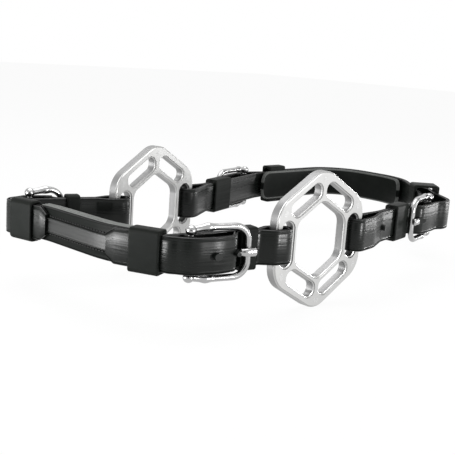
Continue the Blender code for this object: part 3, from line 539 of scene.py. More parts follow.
class StrapEnd:
    """One buckled strap end, with its usual sizes. Its distances run from the wheel's rim bar."""

    frame_length = FRAME_LENGTH
    fold = 0.0118
    fold_bend = STRAP_BEND_RADIUS
    fold_gap = 0.0004
    reach = 0
    bulge = 0
    arch = 0.0012
    arch_radius = 0.0500
    crown_radius = 0.0100
    keeper_corner = 0.0018
    rise = 0
    swell = 0
    loose = 0

    def __init__(self, name, line, turned_round, **sizes):
        self.name = name
        self.line = line
        self.turned_round = turned_round
        for label, size in sizes.items():
            setattr(self, label, size)

    @property
    def strap(self):
        """Return the body that the strap end rides on."""
        return "nose_strap" if self.line is NOSE_LINE else "chin_strap"

    @property
    def free(self):
        """Return the distance of the buckle frame's free end."""
        return self.bar - self.frame_length

    def world(self, distance, offset, height):
        """Return the world point at a distance, an outward offset and a height."""
        place = self.line.length - distance if self.turned_round else distance
        point, heading = self.line.at(place)
        return (point + left(heading) * offset).to_3d() + Vector((0, 0, height))


NEAR_NOSE = StrapEnd(
    "near_nose", NOSE_LINE, False, bar=0.0575, slide=0.0148, slide_width=0.0112, fixed=0.0712,
    fixed_width=0.0180, tip=0.1040, spare=0.0460, reach=0.0030, arch=0.0024, arch_radius=0.0300,
    crown_radius=0.0160)
OFF_NOSE = StrapEnd(
    "off_nose", NOSE_LINE, True, bar=0.0525, slide=0.0230, slide_width=0.0085, fixed=0.0680,
    fixed_width=0.0170, tip=0.0960, spare=0.0460, frame_length=0.0205, reach=0.0030,
    keeper_corner=0.0030)
OFF_CHIN = StrapEnd(
    "off_chin", CHIN_LINE, False, bar=0.1000, slide=0.0356, slide_width=0.0240, fixed=0.1245,
    fixed_width=0.0180, tip=0.1560, spare=0.0306, frame_length=0.0400, fold=0.0260, fold_bend=0.0200,
    fold_gap=0.0009, bulge=0.0003, rise=0.0026)
NEAR_CHIN = StrapEnd(
    "near_chin", CHIN_LINE, True, bar=0.1060, slide=0.0520, slide_width=0.0185, fixed=0.1480,
    fixed_width=0.0170, tip=0.2150, spare=0.0330, fold=0.0340, fold_bend=0.0200, bulge=0.0003,
    rise=0.0026, swell=0.0060, loose=0.0100)
STRAP_ENDS = (NEAR_NOSE, OFF_NOSE, OFF_CHIN, NEAR_CHIN)


def lay(mesh, path, line, turned_round):
    """Bend a flat strap, made along X with its grain side towards +Y, onto a path and a strap line."""
    for vertex in mesh.verts:
        spot = vertex.co.xy
        if path:
            point, heading = path.at(vertex.co.x)
            spot = point + left(heading) * vertex.co.y
        ground, direction = line.at(line.length - spot.x if turned_round else spot.x)
        vertex.co = (ground + left(direction) * spot.y).to_3d() + Vector((0, 0, vertex.co.z))


def groove_points(places, half_width, half_depth):
    """Return the grain side of a strap's section, from its lower edge to its upper, as (depth, height)."""
    points = []
    for place in sorted([-half_width + mark for mark in places] + [half_width - mark for mark in places]):
        points += [(half_depth, place - CREASE_WIDTH / 2), (half_depth - CREASE_DEPTH, place),
                   (half_depth, place + CREASE_WIDTH / 2)]
    return points


def flat_strap(length, width, thickness, creases, edge_radius=STRAP_EDGE_RADIUS, crown=0):
    """Return a flat strap along X, its grain side towards +Y, with round edges and crease lines."""
    half_width = width / 2
    half_depth = thickness / 2
    section = [(-half_depth, -half_width + edge_radius)]
    for height_side, depth_side in ((-1, 1), (1, 1), (1, -1)):
        if (height_side, depth_side) == (1, 1):
            section += groove_points(creases, half_width, half_depth)
        corner = (depth_side * (half_depth - edge_radius), height_side * (half_width - edge_radius))
        for number in range(STRAP_EDGE_STEPS + 1):
            swing = math.pi / 2 * number / STRAP_EDGE_STEPS
            first, second = (math.sin(swing), math.cos(swing))
            if height_side * depth_side > 0:
                first, second = second, first
            section.append((corner[0] + depth_side * second * edge_radius,
                            corner[1] + height_side * first * edge_radius))
    mesh = bmesh.new()
    points = [mesh.verts.new((0, depth + crown * (1 - (height / half_width) ** 2) * (depth > 0), height))
              for depth, height in section]
    mesh.faces.new(points)
    bmesh.ops.remove_doubles(mesh, verts=mesh.verts, dist=MERGE_DISTANCE)
    steps = max(2, round(length / STRAP_STEP))
    bmesh.ops.spin(mesh, geom=mesh.verts[:] + mesh.edges[:] + mesh.faces[:], angle=0, steps=steps,
                   axis=(0, 0, 1), cent=(0, 0, 0), dvec=(length / steps, 0, 0), use_duplicate=False)
    return mesh


def mark_strap(mesh):
    """Keep each point's place along and across the flat strap as a UV map, in metres."""
    layer = mesh.loops.layers.uv.new("strap")
    for face in mesh.faces:
        for loop in face.loops:
            loop[layer].uv = (loop.vert.co.x, loop.vert.co.z)


def punch(mesh, places):
    """Cut holes through a flat strap. Each place is its distance, half length and half width."""
    strap = mesh_object(mesh, "strap")
    for distance, half_length, half_width in places:
        tool = bmesh.new()
        bmesh.ops.create_cone(tool, cap_ends=True, segments=32, radius1=half_width, radius2=half_width,
                              depth=LEATHER_THICKNESS * 3, matrix=Matrix.Rotation(math.pi / 2, 4, "X"))
        bmesh.ops.scale(tool, verts=tool.verts, vec=(half_length / half_width, 1, 1))
        bmesh.ops.translate(tool, verts=tool.verts, vec=(distance, 0, 0))
        punch_tool = mesh_object(tool, "punch")
        cut = strap.modifiers.new("cut", "BOOLEAN")
        cut.operation = "DIFFERENCE"
        cut.solver = "EXACT"
        cut.object = punch_tool
        strap.data = applied_mesh(strap)
        strap.modifiers.clear()
        bpy.data.objects.remove(punch_tool, do_unlink=True)
    mesh = bmesh.new()
    mesh.from_mesh(strap.data)
    bpy.data.objects.remove(strap, do_unlink=True)
    return mesh


def billet_path(end):
    """Return the billet's own line as (distance, offset): inner layer, fold, rise, run and tip."""
    turn = RIM_BAR_HALF_DIAGONAL + end.fold_gap + LEATHER_THICKNESS / 2
    rise = end.free + BILLET_RISE_START
    inner_end = end.fixed + end.fixed_width
    corners = [(inner_end, -LAYER_MIDDLE), (end.fold, -LAYER_MIDDLE), (FOLD_STRAIGHT, -turn),
               (-turn - end.reach, -turn), (-turn - end.reach, turn), (FOLD_STRAIGHT, turn),
               (end.fold, LAYER_MIDDLE), (rise, LAYER_MIDDLE), (rise + BILLET_RISE_LENGTH, BILLET_TOP)]
    if end.bulge > 0:
        corners[5] = (end.fold * BULGE_SHARE, turn + end.bulge)
    arch = rise + BILLET_RISE_LENGTH
    arch += (end.bar - arch) * BILLET_ARCH_SHARE
    corners += [(arch, BILLET_TOP + end.arch), (end.bar + CHAPE_TURN_RADIUS, BILLET_TOP + end.arch / 3)]
    bend = STRAP_BEND_RADIUS
    radii = [end.fold_bend, end.fold_bend, turn, turn, end.fold_bend, end.fold_bend, bend / 2,
             BILLET_SHOULDER_RADIUS, end.arch_radius, end.crown_radius]
    if end.swell > 0:
        corners.append((end.bar + SWELL_DISTANCE, BILLET_TOP + end.swell))
        radii.append(SWELL_RADIUS)
    corners.append((end.fixed - BILLET_SETTLE, LAYER_MIDDLE + end.loose))
    radii.append(bend)
    if end.loose > 0:
        corners.append((end.fixed + end.fixed_width + BILLET_SETTLE, LAYER_MIDDLE + end.loose))
        corners.append((end.fixed + end.fixed_width * 2, LAYER_MIDDLE))
        radii += [bend, bend]
    corners.append((end.tip, LAYER_MIDDLE))
    return Line(corners, radii)


def point_tip(mesh, length):
    """Draw a flat strap's last stretch in to a blunt tip."""
    for vertex in mesh.verts:
        share = max(0, 1 - (length - vertex.co.x) / TIP_POINT_LENGTH)
        vertex.co.z *= 1 - share * (1 - TIP_POINT_WIDTH / STRAP_WIDTH)


def make_billet(end):
    """Make one billet, punched flat and then bent round the rim bar and over the buckle."""
    path = billet_path(end)
    mesh = flat_strap(path.length, STRAP_WIDTH, LEATHER_THICKNESS, CREASE_PLACES)
    mark_strap(mesh)
    point_tip(mesh, path.length)
    crossing = end.free + BILLET_RISE_START + BILLET_RISE_LENGTH * PRONG_CROSSING_SHARE
    holes = [(path.distance_to(crossing) + (BILLET_HOLE_LENGTH - BILLET_HOLE_WIDTH) / 2,
              BILLET_HOLE_LENGTH / 2, BILLET_HOLE_WIDTH / 2),
             (path.distance_to(end.spare), SPARE_HOLE_RADIUS, SPARE_HOLE_RADIUS)]
    mesh = punch(mesh, holes)
    lay(mesh, path, end.line, end.turned_round)
    return finish_mesh(mesh, end.name + "_billet_strap", sharp=40)


def leather_grain_group():
    """Return the node group for leather: pebbled grain, long streaks, cloudy wear and an edge band for a
    painted highlight that is partly the edge finish's own tone.
    """
    group, entry, leave = start_group("leather_grain", ["Grain size", "Streak size", "Half width"],
                                      ["Grain", "Streaks", "Clouds", "Edge"])
    place = add_node(group, "TexCoord")
    along = add_node(group, "UVMap", uv_map="strap")
    pebbles = add_node(group, "TexVoronoi", feature="SMOOTH_F1")
    stretched = add_node(group, "Mapping", {"Scale": STREAK_STRETCH})
    streaks = add_node(group, "TexNoise", {"Detail": 4})
    clouds = add_node(group, "TexNoise", {"Scale": LEATHER_CLOUD_SIZE, "Detail": 3})
    across = add_node(group, "SeparateXYZ")
    depth = add_node(group, "Math", operation="ABSOLUTE")
    share = add_node(group, "Math", operation="DIVIDE")
    # Mask of the edge band that carries the painted edge highlight.
    edge_finish_and_highlight = add_node(group, "MapRange", EDGE_FINISH_AND_HIGHLIGHT_BAND)
    join(group, (along, "UV", across, "Vector"), (across, "Y", depth, 0), (depth, 0, share, 0),
         (entry, "Half width", share, 1), (share, 0, edge_finish_and_highlight, "Value"), (edge_finish_and_highlight, "Result", leave, "Edge"),
         (place, "Object", pebbles, "Vector"), (entry, "Grain size", pebbles, "Scale"),
         (along, "UV", stretched, "Vector"), (stretched, "Vector", streaks, "Vector"),
         (entry, "Streak size", streaks, "Scale"), (place, "Object", clouds, "Vector"),
         (pebbles, "Distance", leave, "Grain"), (streaks, "Fac", leave, "Streaks"),
         (clouds, "Fac", leave, "Clouds"))
    return group


LEATHER_GRAIN = leather_grain_group()


def leather(name, colour, roughness, grain_size=1500, grain_depth=0.06, streak_depth=0.40, shine=0.12,
            edge=(0.03, 0.03, 0.03), half_width=STRAP_WIDTH / 2):
    """Return a black leather with grain, streaks along the strap and edges painted lighter as a highlight,
    partly the edge finish's own tone.
    """
    material, tree, surface = start_material(name, {"Specular IOR Level": shine})
    grain = add_node(tree, "Group", {"Grain size": grain_size, "Streak size": STREAK_SIZE,
                                     "Half width": half_width}, node_tree=LEATHER_GRAIN)
    dark, light = LEATHER_CLOUD_SHADES
    tint = add_node(tree, "Mix", {"A": shaded(colour, dark), "B": shaded(colour, light)}, data_type="RGBA")
    # Where the edge colour is lighter than the leather, it is a painted highlight along the edges, partly
    # the edge finish's own tone.
    edge_finish_and_highlight = add_node(tree, "Mix", {"B": (*edge, 1)}, data_type="RGBA")
    smoother, rougher = STREAK_POLISH
    polish = add_node(tree, "MapRange", {**NOISE_SPREAD, "To Min": roughness + smoother,
                                         "To Max": roughness + rougher})
    pebble_relief = add_node(tree, "Bump", {"Strength": grain_depth, "Distance": PEBBLE_RELIEF})
    streak_relief = add_node(tree, "Bump", {"Strength": streak_depth, "Distance": STREAK_RELIEF})
    join(tree, (grain, "Clouds", tint, "Factor"), (tint, "Result", edge_finish_and_highlight, "A"),
         (grain, "Edge", edge_finish_and_highlight, "Factor"), (edge_finish_and_highlight, "Result", surface, "Base Color"),
         (grain, "Streaks", polish, "Value"), (polish, "Result", surface, "Roughness"),
         (grain, "Grain", pebble_relief, "Height"), (grain, "Streaks", streak_relief, "Height"),
         (pebble_relief, "Normal", streak_relief, "Normal"), (streak_relief, "Normal", surface, "Normal"))
    return material


for end in STRAP_ENDS:
    black = leather(end.name + "_billet_leather", BILLET_BLACK, roughness=0.30, shine=0.22)
    dress(make_billet(end), black, end.strap, "strap_leather", end.name + "_billet")

# Chapes. A thinner strip of the same leather wraps the buckle's bar and is sewn to the strap
# behind it, with a slot for the prong.
CHAPE_WIDTH = 0.0176
CHAPE_TAIL = 0.0065
CHAPE_SLOT_HALF_LENGTH = 0.0040
CHAPE_SLOT_HALF_WIDTH = 0.0024
CHAPE_EDGE_RADIUS = 0.0005


def chape_path(end):
    """Return the chape's line: out along the strap, round the bar, and back."""
    turn = CHAPE_TURN_RADIUS
    low = LAYER_GAP / 2 + CHAPE_THICKNESS / 2
    high = low + CHAPE_THICKNESS + LAYER_GAP
    bar = end.bar
    ease = CHAPE_TAIL - turn / 2
    corners = [(bar + CHAPE_TAIL, low), (bar + ease, low), (bar + turn / 2, BAR_HEIGHT - turn),
               (bar - turn, BAR_HEIGHT - turn), (bar - turn, BAR_HEIGHT + turn),
               (bar + turn / 2, BAR_HEIGHT + turn), (bar + ease, high), (bar + CHAPE_TAIL, high)]
    return Line(corners, [CHAPE_THICKNESS, CHAPE_THICKNESS, turn, turn, CHAPE_THICKNESS, CHAPE_THICKNESS])


def make_chape(end):
    """Make one chape, slotted flat and then wrapped round the bar."""
    path = chape_path(end)
    mesh = flat_strap(path.length, CHAPE_WIDTH, CHAPE_THICKNESS, (), CHAPE_EDGE_RADIUS)
    mark_strap(mesh)
    middle = path.length / 2
    mesh = punch(mesh, [(middle, CHAPE_SLOT_HALF_LENGTH, CHAPE_SLOT_HALF_WIDTH)])
    lay(mesh, path, end.line, end.turned_round)
    return finish_mesh(mesh, end.name + "_chape_strap", sharp=40)


for end in STRAP_ENDS:
    black = leather(end.name + "_chape_leather", BILLET_BLACK, roughness=0.40)
    dress(make_chape(end), black, end.strap, "strap_leather", end.name + "_chape")

# Buckle frames. Each is a bent round rod of chromed steel, a rounded U whose two ends are turned
# balls on the bar's line.
FRAME_WIRE_RADIUS = 0.0019
FRAME_HALF_HEIGHT = 0.0140
FRAME_BAR_HALF_HEIGHT = 0.0127
FRAME_CORNER_RADIUS = 0.0085
FRAME_SHOULDER = 0.0090
FRAME_REST_HEIGHT = 0.0070
KNOB_RADIUS = 0.0031
KNOB_FLATTENING = 0.92
ROD_STEP = 0.0008
ROD_MERGE_DISTANCE = 0.00001
COLLAR_DISTANCE = 0.0100
COLLAR_LENGTH = 0.0024
COLLAR_SWELL_SHARE = 0.30
CHROME = (0.44, 0.44, 0.44)


def rod(points, radius, name, taper=None):
    """Return a bmesh of a round rod along world points. taper gives each point's share of the radius."""
    curve = bpy.data.curves.new(name, "CURVE")
    curve.dimensions = "3D"
    curve.bevel_depth = radius
    curve.bevel_resolution = 6
    curve.use_fill_caps = True
    spline = curve.splines.new("POLY")
    spline.points.add(len(points) - 1)
    for index, point in enumerate(points):
        spline.points[index].co = (*point, 1)
        spline.points[index].radius = taper[index] if taper else 1
    mesh = bmesh.new()
    mesh.from_mesh(curve_mesh(name, curve))
    bmesh.ops.remove_doubles(mesh, verts=mesh.verts, dist=ROD_MERGE_DISTANCE)
    return mesh


def add_ball(mesh, centre, radius, squash):
    """Add a turned ball to a bmesh, a little flattened along Z."""
    grown = bmesh.ops.create_uvsphere(mesh, u_segments=28, v_segments=18, radius=radius)
    bmesh.ops.scale(mesh, verts=grown["verts"], vec=(1, 1, squash))
    bmesh.ops.translate(mesh, verts=grown["verts"], vec=centre)


def make_frame(end):
    """Make one buckle frame."""
    start = end.world(end.bar, BAR_HEIGHT, 0)
    heading = end.world(end.free, FRAME_REST_HEIGHT, 0) - start
    reach = heading.length
    heading.normalize()
    narrow = FRAME_BAR_HALF_HEIGHT
    line = Line([(0, narrow), (FRAME_SHOULDER, FRAME_HALF_HEIGHT), (reach, FRAME_HALF_HEIGHT),
                 (reach, -FRAME_HALF_HEIGHT), (FRAME_SHOULDER, -FRAME_HALF_HEIGHT), (0, -narrow)],
                [FRAME_CORNER_RADIUS] * 4)
    places = line.places(ROD_STEP)
    points = [start + heading * spot.x + Vector((0, 0, spot.y)) for spot, _ in map(line.at, places)]
    beside = [(min(place, line.length - place) - COLLAR_DISTANCE) / COLLAR_LENGTH for place in places]
    taper = [1 + COLLAR_SWELL_SHARE * math.exp(-share * share) for share in beside]
    mesh = rod(points, FRAME_WIRE_RADIUS, end.name, taper)
    for side in (-1, 1):
        add_ball(mesh, start + Vector((0, 0, side * narrow)), KNOB_RADIUS, KNOB_FLATTENING)
    return finish_mesh(mesh, end.name + "_buckle_rod", sharp=50)


def chrome(name):
    """Return the buckles' chromed steel."""
    return metal(name, CHROME, dull=0.24, bright=0.14, scratch_size=500, bump=0.08)


for end in STRAP_ENDS:
    dress(make_frame(end), chrome(end.name + "_frame_chrome"), end.name + "_frame", "buckle_chrome",
          end.name + "_buckle_frame")

# Bars. Each buckle's straight bar is a turned steel pin, chromed like the frame. Its solid is right
# as it is, so it only gets the chrome.
for end in STRAP_ENDS:
    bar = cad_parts[end.name + "_buckle_bar"]
    bar.material_slots[0].material = chrome(end.name + "_bar_chrome")

# Prongs. Each is a chromed wire with a ring round the bar. It comes up through the billet's hole
# and its flattened tip rests on the frame.
PRONG_RADIUS = 0.0014
PRONG_RING_RADIUS = 0.0031
PRONG_RING_WIDTH = 0.0036
PRONG_OVERHANG = 0.0024
PRONG_TIP_SPREAD = 1.65
PRONG_TIP_LENGTH = 0.0110
PRONG_RING_THICKNESS = 0.0012


def prong_line(end):
    """Return the prong's own line, from its ring to its tip, as (distance, offset)."""
    rise_start = Vector((end.free + BILLET_RISE_START, LAYER_MIDDLE))
    rise_end = Vector((end.free + BILLET_RISE_START + BILLET_RISE_LENGTH, BILLET_TOP))
    middle = rise_start.lerp(rise_end, PRONG_CROSSING_SHARE)
    over = FRAME_REST_HEIGHT + FRAME_WIRE_RADIUS + LAYER_GAP + PRONG_RADIUS
    top = Vector((end.free + FRAME_WIRE_RADIUS + PRONG_RADIUS, over))
    foot = middle - (top - middle) * ((middle.y - BAR_HEIGHT) / (top - middle).y)
    ring = (PRONG_RING_RADIUS + BAR_RADIUS + LAYER_GAP) / 2
    return Line([(end.bar - ring, BAR_HEIGHT), foot, top, (end.free - PRONG_OVERHANG, over)],
                [PRONG_RADIUS * 2] * 2)


def make_prong(end):
    """Make one prong: wire, flattened tip and ring."""
    line = prong_line(end)
    points = [end.world(spot.x, spot.y, 0) for spot, _ in map(line.at, line.places(ROD_STEP))]
    mesh = rod(points, PRONG_RADIUS, end.name)
    for vertex in mesh.verts:
        share = max(0, 1 - (vertex.co - points[-1]).length / PRONG_TIP_LENGTH)
        vertex.co.z *= 1 + (PRONG_TIP_SPREAD - 1) * min(1, 2 * share)
    add_ball(mesh, points[-1], PRONG_RADIUS, PRONG_TIP_SPREAD)
    centre = end.world(end.bar, BAR_HEIGHT, 0)
    ring = bmesh.ops.create_circle(mesh, cap_ends=False, segments=16, radius=PRONG_RING_THICKNESS / 2)
    ring_points = ring["verts"]
    bmesh.ops.scale(mesh, verts=ring_points, vec=(1, PRONG_RING_WIDTH / PRONG_RING_THICKNESS, 1))
    bmesh.ops.rotate(mesh, verts=ring_points, cent=(0, 0, 0), matrix=Matrix.Rotation(math.pi / 2, 3, "X"))
    middle = PRONG_RING_RADIUS - PRONG_RING_THICKNESS / 2
    bmesh.ops.translate(mesh, verts=ring_points, vec=centre + Vector((middle, 0, 0)))
    ring_edges = [edge for edge in mesh.edges if not edge.link_faces]
    bmesh.ops.spin(mesh, geom=ring_points + ring_edges, cent=centre, axis=(0, 0, 1), angle=2 * math.pi,
                   steps=28, use_merge=True, use_duplicate=False)
    return finish_mesh(mesh, end.name + "_prong_wire", sharp=50)


for end in STRAP_ENDS:
    dress(make_prong(end), chrome(end.name + "_prong_chrome"), end.name + "_prong", "buckle_chrome",
          end.name + "_prong")

# Keepers. Each is a band of thick black leather folded round both strap layers and sewn shut
# behind. One slides next to the wheel, the other is fixed by the billet's tip.
KEEPER_WALL = 0.0018
KEEPER_INNER_HALF_HEIGHT = STRAP_WIDTH / 2 + LAYER_GAP
STACK_FACE = LEATHER_THICKNESS + LAYER_GAP / 2
KEEPER_EDGE_RADIUS = 0.0008
KEEPER_LENGTH_STEP = 0.0012
KEEPER_RIM_ANGLE = math.radians(80)
KEEPER_BLACK = (0.0088, 0.0100, 0.0091)
KEEPER_EDGE = (0.008, 0.009, 0.008)


def cut_across(mesh, axis, places):
    """Cut a mesh's faces by planes that stand across an axis at these places."""
    for place in places:
        bmesh.ops.bisect_plane(mesh, geom=mesh.verts[:] + mesh.edges[:] + mesh.faces[:],
                               plane_co=Vector(axis) * place, plane_no=axis)


def keeper_band(end, start, width, loose, rise, name):
    """Make one keeper: a rounded rectangle, its wall, its length along the strap and soft edges."""
    half_depth = STACK_FACE + LAYER_GAP + loose / 2 + KEEPER_WALL
    half_height = KEEPER_INNER_HALF_HEIGHT + rise + KEEPER_WALL
    mesh = bmesh.new()
    corners = [mesh.verts.new((start, loose / 2 + depth * half_depth, height * half_height))
               for depth, height in ((1, 1), (-1, 1), (-1, -1), (1, -1))]
    mesh.faces.new(corners)
    bmesh.ops.bevel(mesh, geom=corners, offset=end.keeper_corner, offset_type="OFFSET", segments=6,
                    profile=0.5, affect="VERTICES", material=-1)
    bmesh.ops.inset_region(mesh, faces=mesh.faces[:], thickness=KEEPER_WALL, use_even_offset=True,
                           use_boundary=True)
    inner = max(mesh.faces, key=lambda face: len(face.verts))
    bmesh.ops.delete(mesh, geom=[inner], context="FACES_ONLY")
    thicken(mesh, mesh.faces[:], (width, 0, 0))
    bmesh.ops.recalc_face_normals(mesh, faces=mesh.faces)
    rims = [edge for edge in mesh.edges if edge.calc_face_angle(0) > KEEPER_RIM_ANGLE]
    bmesh.ops.bevel(mesh, geom=rims, offset=KEEPER_EDGE_RADIUS, offset_type="OFFSET", segments=3,
                    profile=0.5, affect="EDGES", material=-1)
    marks = range(1, round(width / KEEPER_LENGTH_STEP))
    cut_across(mesh, (1, 0, 0), [start + number * KEEPER_LENGTH_STEP for number in marks])
    mark_strap(mesh)
    lay(mesh, None, end.line, end.turned_round)
    return finish_mesh(mesh, name, sharp=50)


def keeper_leather(name):
    """Return the keepers' duller leather."""
    return leather(name, KEEPER_BLACK, roughness=0.48, grain_size=1300, streak_depth=0.05, shine=0.05,
                   edge=KEEPER_EDGE)


for end in STRAP_ENDS:
    slider = keeper_band(end, end.slide, end.slide_width, 0, 0, end.name + "_sliding_band")
    dress(slider, keeper_leather(end.name + "_sliding_leather"), end.name + "_keeper", "keeper_leather",
          end.name + "_slide_keeper")
    holder = keeper_band(end, end.fixed, end.fixed_width, end.loose, end.rise, end.name + "_sewn_band")
    dress(holder, keeper_leather(end.name + "_sewn_leather"), end.strap, "keeper_leather",
          end.name + "_fixed_keeper")

# Nose band. Over the horse's nose lies a flat leather strap with a narrow raised strip on it, and
# behind it a thick pad of soft leather in three layers, all sewn together along two rows.
BAND_PADDING_THICKNESS = 0.0068
BAND_PADDING_WIDTH = 0.0200
RAISED_STRIP_WIDTH = 0.0085
RAISED_STRIP_THICKNESS = 0.0011
RAISED_STRIP_EDGE_RADIUS = 0.0005
RAISED_STRIP_CROWN = 0.0004
BAND_CREASE_PLACES = (0.0022,)
PADDING_SETBACK = 0.0012
PAD_LAYERS = 3
PAD_CUTS_PER_LAYER = 6
PAD_CUTS_ACROSS = 8
PAD_STEP_RATIO = 1.5
PAD_ROLL_FULLNESS = 0.6
PAD_GROOVE_DEPTH = 0.0009
PAD_BLACK = (0.0060, 0.0072, 0.0063)
# Pale colour along the pad's edges: a painted highlight where light catches the layers, partly their own
# tone.
PAD_EDGE_FINISH_AND_HIGHLIGHT = (0.28, 0.29, 0.28)
PLY_EDGE_RADIUS = 0.0009
PLY_SHARE = 0.96
STITCH_LENGTH = 0.0019
STITCH_PITCH = 0.0024
STITCH_RADIUS = 0.00045
STITCH_HEIGHT_RATIO = 1.3
STITCH_INSET = 0.0010
THREAD_DARK = (0.002, 0.002, 0.002)
THREAD_LIGHT = (0.008, 0.008, 0.008)
THREAD_TWIST_SIZE = 2500


def band_strap(line, start, finish, low, high, width, creases, name, edge_radius=STRAP_EDGE_RADIUS,
               crown=0):
    """Make a strap that follows a strap line between two offsets."""
    mesh = flat_strap(finish - start, width, high - low, creases, edge_radius, crown)
    mark_strap(mesh)
    bmesh.ops.translate(mesh, verts=mesh.verts, vec=(start, (low + high) / 2, 0))
    lay(mesh, None, line, False)
    return finish_mesh(mesh, name, sharp=45)


def pad_strap(line, start, finish, low, high, width, name, end_radius):
    """Make a soft pad whose upper and lower edges show its layers as rolls, with round ends."""
    mesh = bmesh.new()
    bmesh.ops.create_cube(mesh, size=1)
    span = finish - start
    bmesh.ops.scale(mesh, verts=mesh.verts, vec=(span, high - low, width))
    bmesh.ops.translate(mesh, verts=mesh.verts, vec=(start + span / 2, (low + high) / 2, 0))
    deep = PAD_CUTS_PER_LAYER * PAD_LAYERS
    wide = PAD_CUTS_ACROSS
    long = round(span / STRAP_STEP / PAD_STEP_RATIO)
    cut_across(mesh, (0, 1, 0), [low + (high - low) * number / deep for number in range(1, deep)])
    cut_across(mesh, (0, 0, 1), [width * (number / wide - 0.5) for number in range(1, wide)])
    cut_across(mesh, (1, 0, 0), [start + span * number / long for number in range(1, long)])
    mark_strap(mesh)
    for vertex in mesh.verts:
        share = (vertex.co.y - low) / (high - low) * PAD_LAYERS
        roll = abs(math.sin(math.pi * share))
        pull = PAD_GROOVE_DEPTH * (1 - roll ** PAD_ROLL_FULLNESS)
        edge = min(vertex.co.x - start, finish - vertex.co.x)
        if edge < end_radius:
            pull += end_radius - math.sqrt(max(0, end_radius ** 2 - (end_radius - edge) ** 2))
        height = vertex.co.z
        vertex.co.z = math.copysign(max(0, abs(height) - pull * abs(height) / (width / 2)), height)
    lay(mesh, None, line, False)
    return finish_mesh(mesh, name, sharp=60)


def ply_strap(line, start, finish, low, high, width, name):
    """Make a pad of thick plies, one on the other, each with round edges."""
    mesh = bmesh.new()
    thickness = (high - low) / PAD_LAYERS
    for number in range(PAD_LAYERS):
        ply = flat_strap(finish - start, width, thickness * PLY_SHARE, (), PLY_EDGE_RADIUS)
        mark_strap(ply)
        bmesh.ops.translate(ply, verts=ply.verts, vec=(start, low + thickness * (number + 0.5), 0))
        data = bpy.data.meshes.new("ply")
        ply.to_mesh(data)
        ply.free()
        mesh.from_mesh(data)
        bpy.data.meshes.remove(data)
    lay(mesh, None, line, False)
    return finish_mesh(mesh, name, sharp=45)


def pad_leather(name, edge, half_width):
    """Return the pads' softer leather, its edges painted pale as a highlight, partly their own tone."""
    return leather(name, PAD_BLACK, roughness=0.46, grain_size=1100, grain_depth=0.2, streak_depth=0.05,
                   shine=0.07, edge=edge, half_width=half_width)


def stitch_row(line, start, finish, offset, height, name):
    """Make one row of waxed thread stitches, each a short bead sunk half its depth in the leather."""
    mesh = bmesh.new()
    count = int((finish - start) / STITCH_PITCH)
    for number in range(count):
        grown = bmesh.ops.create_icosphere(mesh, subdivisions=2, radius=STITCH_RADIUS)
        bmesh.ops.scale(mesh, verts=grown["verts"],
                        vec=(STITCH_LENGTH / 2 / STITCH_RADIUS, 1, STITCH_HEIGHT_RATIO))
        place = start + (number + 0.5) * STITCH_PITCH
        bmesh.ops.translate(mesh, verts=grown["verts"], vec=(place, offset, height))
    lay(mesh, None, line, False)
    return finish_mesh(mesh, name, sharp=80)


def thread(name):
    """Return a waxed black thread."""
    material, tree, surface = start_material(name, {"Roughness": 0.5, "Specular IOR Level": 0.20})
    place = add_node(tree, "TexCoord")
    twist = add_node(tree, "TexNoise", {"Scale": THREAD_TWIST_SIZE})
    shade = add_node(tree, "Mix", {"A": (*THREAD_DARK, 1), "B": (*THREAD_LIGHT, 1)}, data_type="RGBA")
    join(tree, (place, "Object", twist, "Vector"), (twist, "Fac", shade, "Factor"),
         (shade, "Result", surface, "Base Color"))
    return material


near_sewn = NEAR_NOSE.fixed + NEAR_NOSE.fixed_width
off_sewn = NOSE_LINE.length - OFF_NOSE.fixed - OFF_NOSE.fixed_width
near_tip = NEAR_NOSE.tip + LAYER_GAP
off_tip = NOSE_LINE.length - OFF_NOSE.tip - LAYER_GAP
pad_face = -STACK_FACE - LAYER_GAP
band = band_strap(NOSE_LINE, near_sewn + LAYER_GAP, off_sewn - LAYER_GAP, -STACK_FACE, -LAYER_GAP / 2,
                  BAND_PADDING_WIDTH, BAND_CREASE_PLACES, "nose_band_leather")
black = leather("nose_band_outer_leather", BILLET_BLACK, roughness=0.42, streak_depth=0.12, shine=0.06)
dress(band, black, "nose_strap", "strap_leather", "nose_band_outer")
strip = band_strap(NOSE_LINE, near_tip, off_tip, LAYER_GAP / 2, LAYER_GAP / 2 + RAISED_STRIP_THICKNESS,
                   RAISED_STRIP_WIDTH, (), "nose_band_strip", RAISED_STRIP_EDGE_RADIUS, RAISED_STRIP_CROWN)
black = leather("nose_band_strip_leather", BILLET_BLACK, roughness=0.36, streak_depth=0.12, shine=0.50)
dress(strip, black, "nose_strap", "strap_leather", "nose_band_raised_strip")
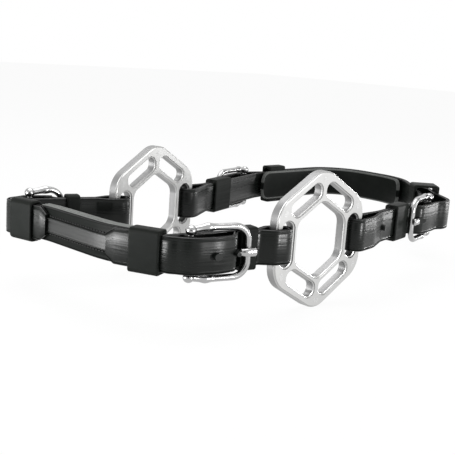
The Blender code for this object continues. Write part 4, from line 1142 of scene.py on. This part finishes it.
pad = ply_strap(NOSE_LINE, near_sewn + PADDING_SETBACK, off_sewn - PADDING_SETBACK,
                pad_face - BAND_PADDING_THICKNESS, pad_face, BAND_PADDING_WIDTH, "nose_band_pad")
black = pad_leather("nose_band_pad_leather", PAD_EDGE_FINISH_AND_HIGHLIGHT, BAND_PADDING_WIDTH / 2)
dress(pad, black, "nose_strap", "padding_leather", "nose_band_padding")
for side, place in ((-1, "lower"), (1, "upper")):
    row = stitch_row(NOSE_LINE, near_tip, off_tip, 0, side * (RAISED_STRIP_WIDTH / 2 + STITCH_INSET),
                     "nose_band_stitches_" + place)
    dress(row, thread("black_thread"), "nose_strap", "strap_leather")

# Chin band. The chin strap's middle is a flat leather strap, lined behind with a soft padded strip
# that covers the off side's keeper and ends in a round tongue on the near side.
CHIN_BAND_WIDTH = 0.0230
CHIN_LINER_WIDTH = 0.0222
CHIN_LINER_THICKNESS = 0.0050
CHIN_LINER_END_RADIUS = 0.0080
LINER_OVER_KEEPER = 0.0125
LINER_SHORT_OF_KEEPER = 0.0310
# Paler colour along the liner's edges: a painted highlight, partly their own tone.
LINER_EDGE_FINISH_AND_HIGHLIGHT = (0.10, 0.104, 0.10)

off_sewn = OFF_CHIN.fixed + OFF_CHIN.fixed_width
near_sewn = CHIN_LINE.length - NEAR_CHIN.fixed - NEAR_CHIN.fixed_width
band = band_strap(CHIN_LINE, off_sewn + LAYER_GAP, near_sewn - LAYER_GAP, -STACK_FACE, -LAYER_GAP / 2,
                  CHIN_BAND_WIDTH, BAND_CREASE_PLACES, "chin_band_leather")
black = leather("chin_band_outer_leather", BILLET_BLACK, roughness=0.38)
dress(band, black, "chin_strap", "strap_leather", "chin_band")
liner_face = pad_face - KEEPER_WALL - LAYER_GAP
liner = pad_strap(CHIN_LINE, OFF_CHIN.fixed - LINER_OVER_KEEPER, near_sewn - LINER_SHORT_OF_KEEPER,
                  pad_face - CHIN_LINER_THICKNESS, liner_face, CHIN_LINER_WIDTH, "chin_liner_pad",
                  CHIN_LINER_END_RADIUS)
black = pad_leather("chin_liner_leather", LINER_EDGE_FINISH_AND_HIGHLIGHT, CHIN_LINER_WIDTH / 2)
dress(liner, black, "chin_strap", "liner_leather", "chin_liner")
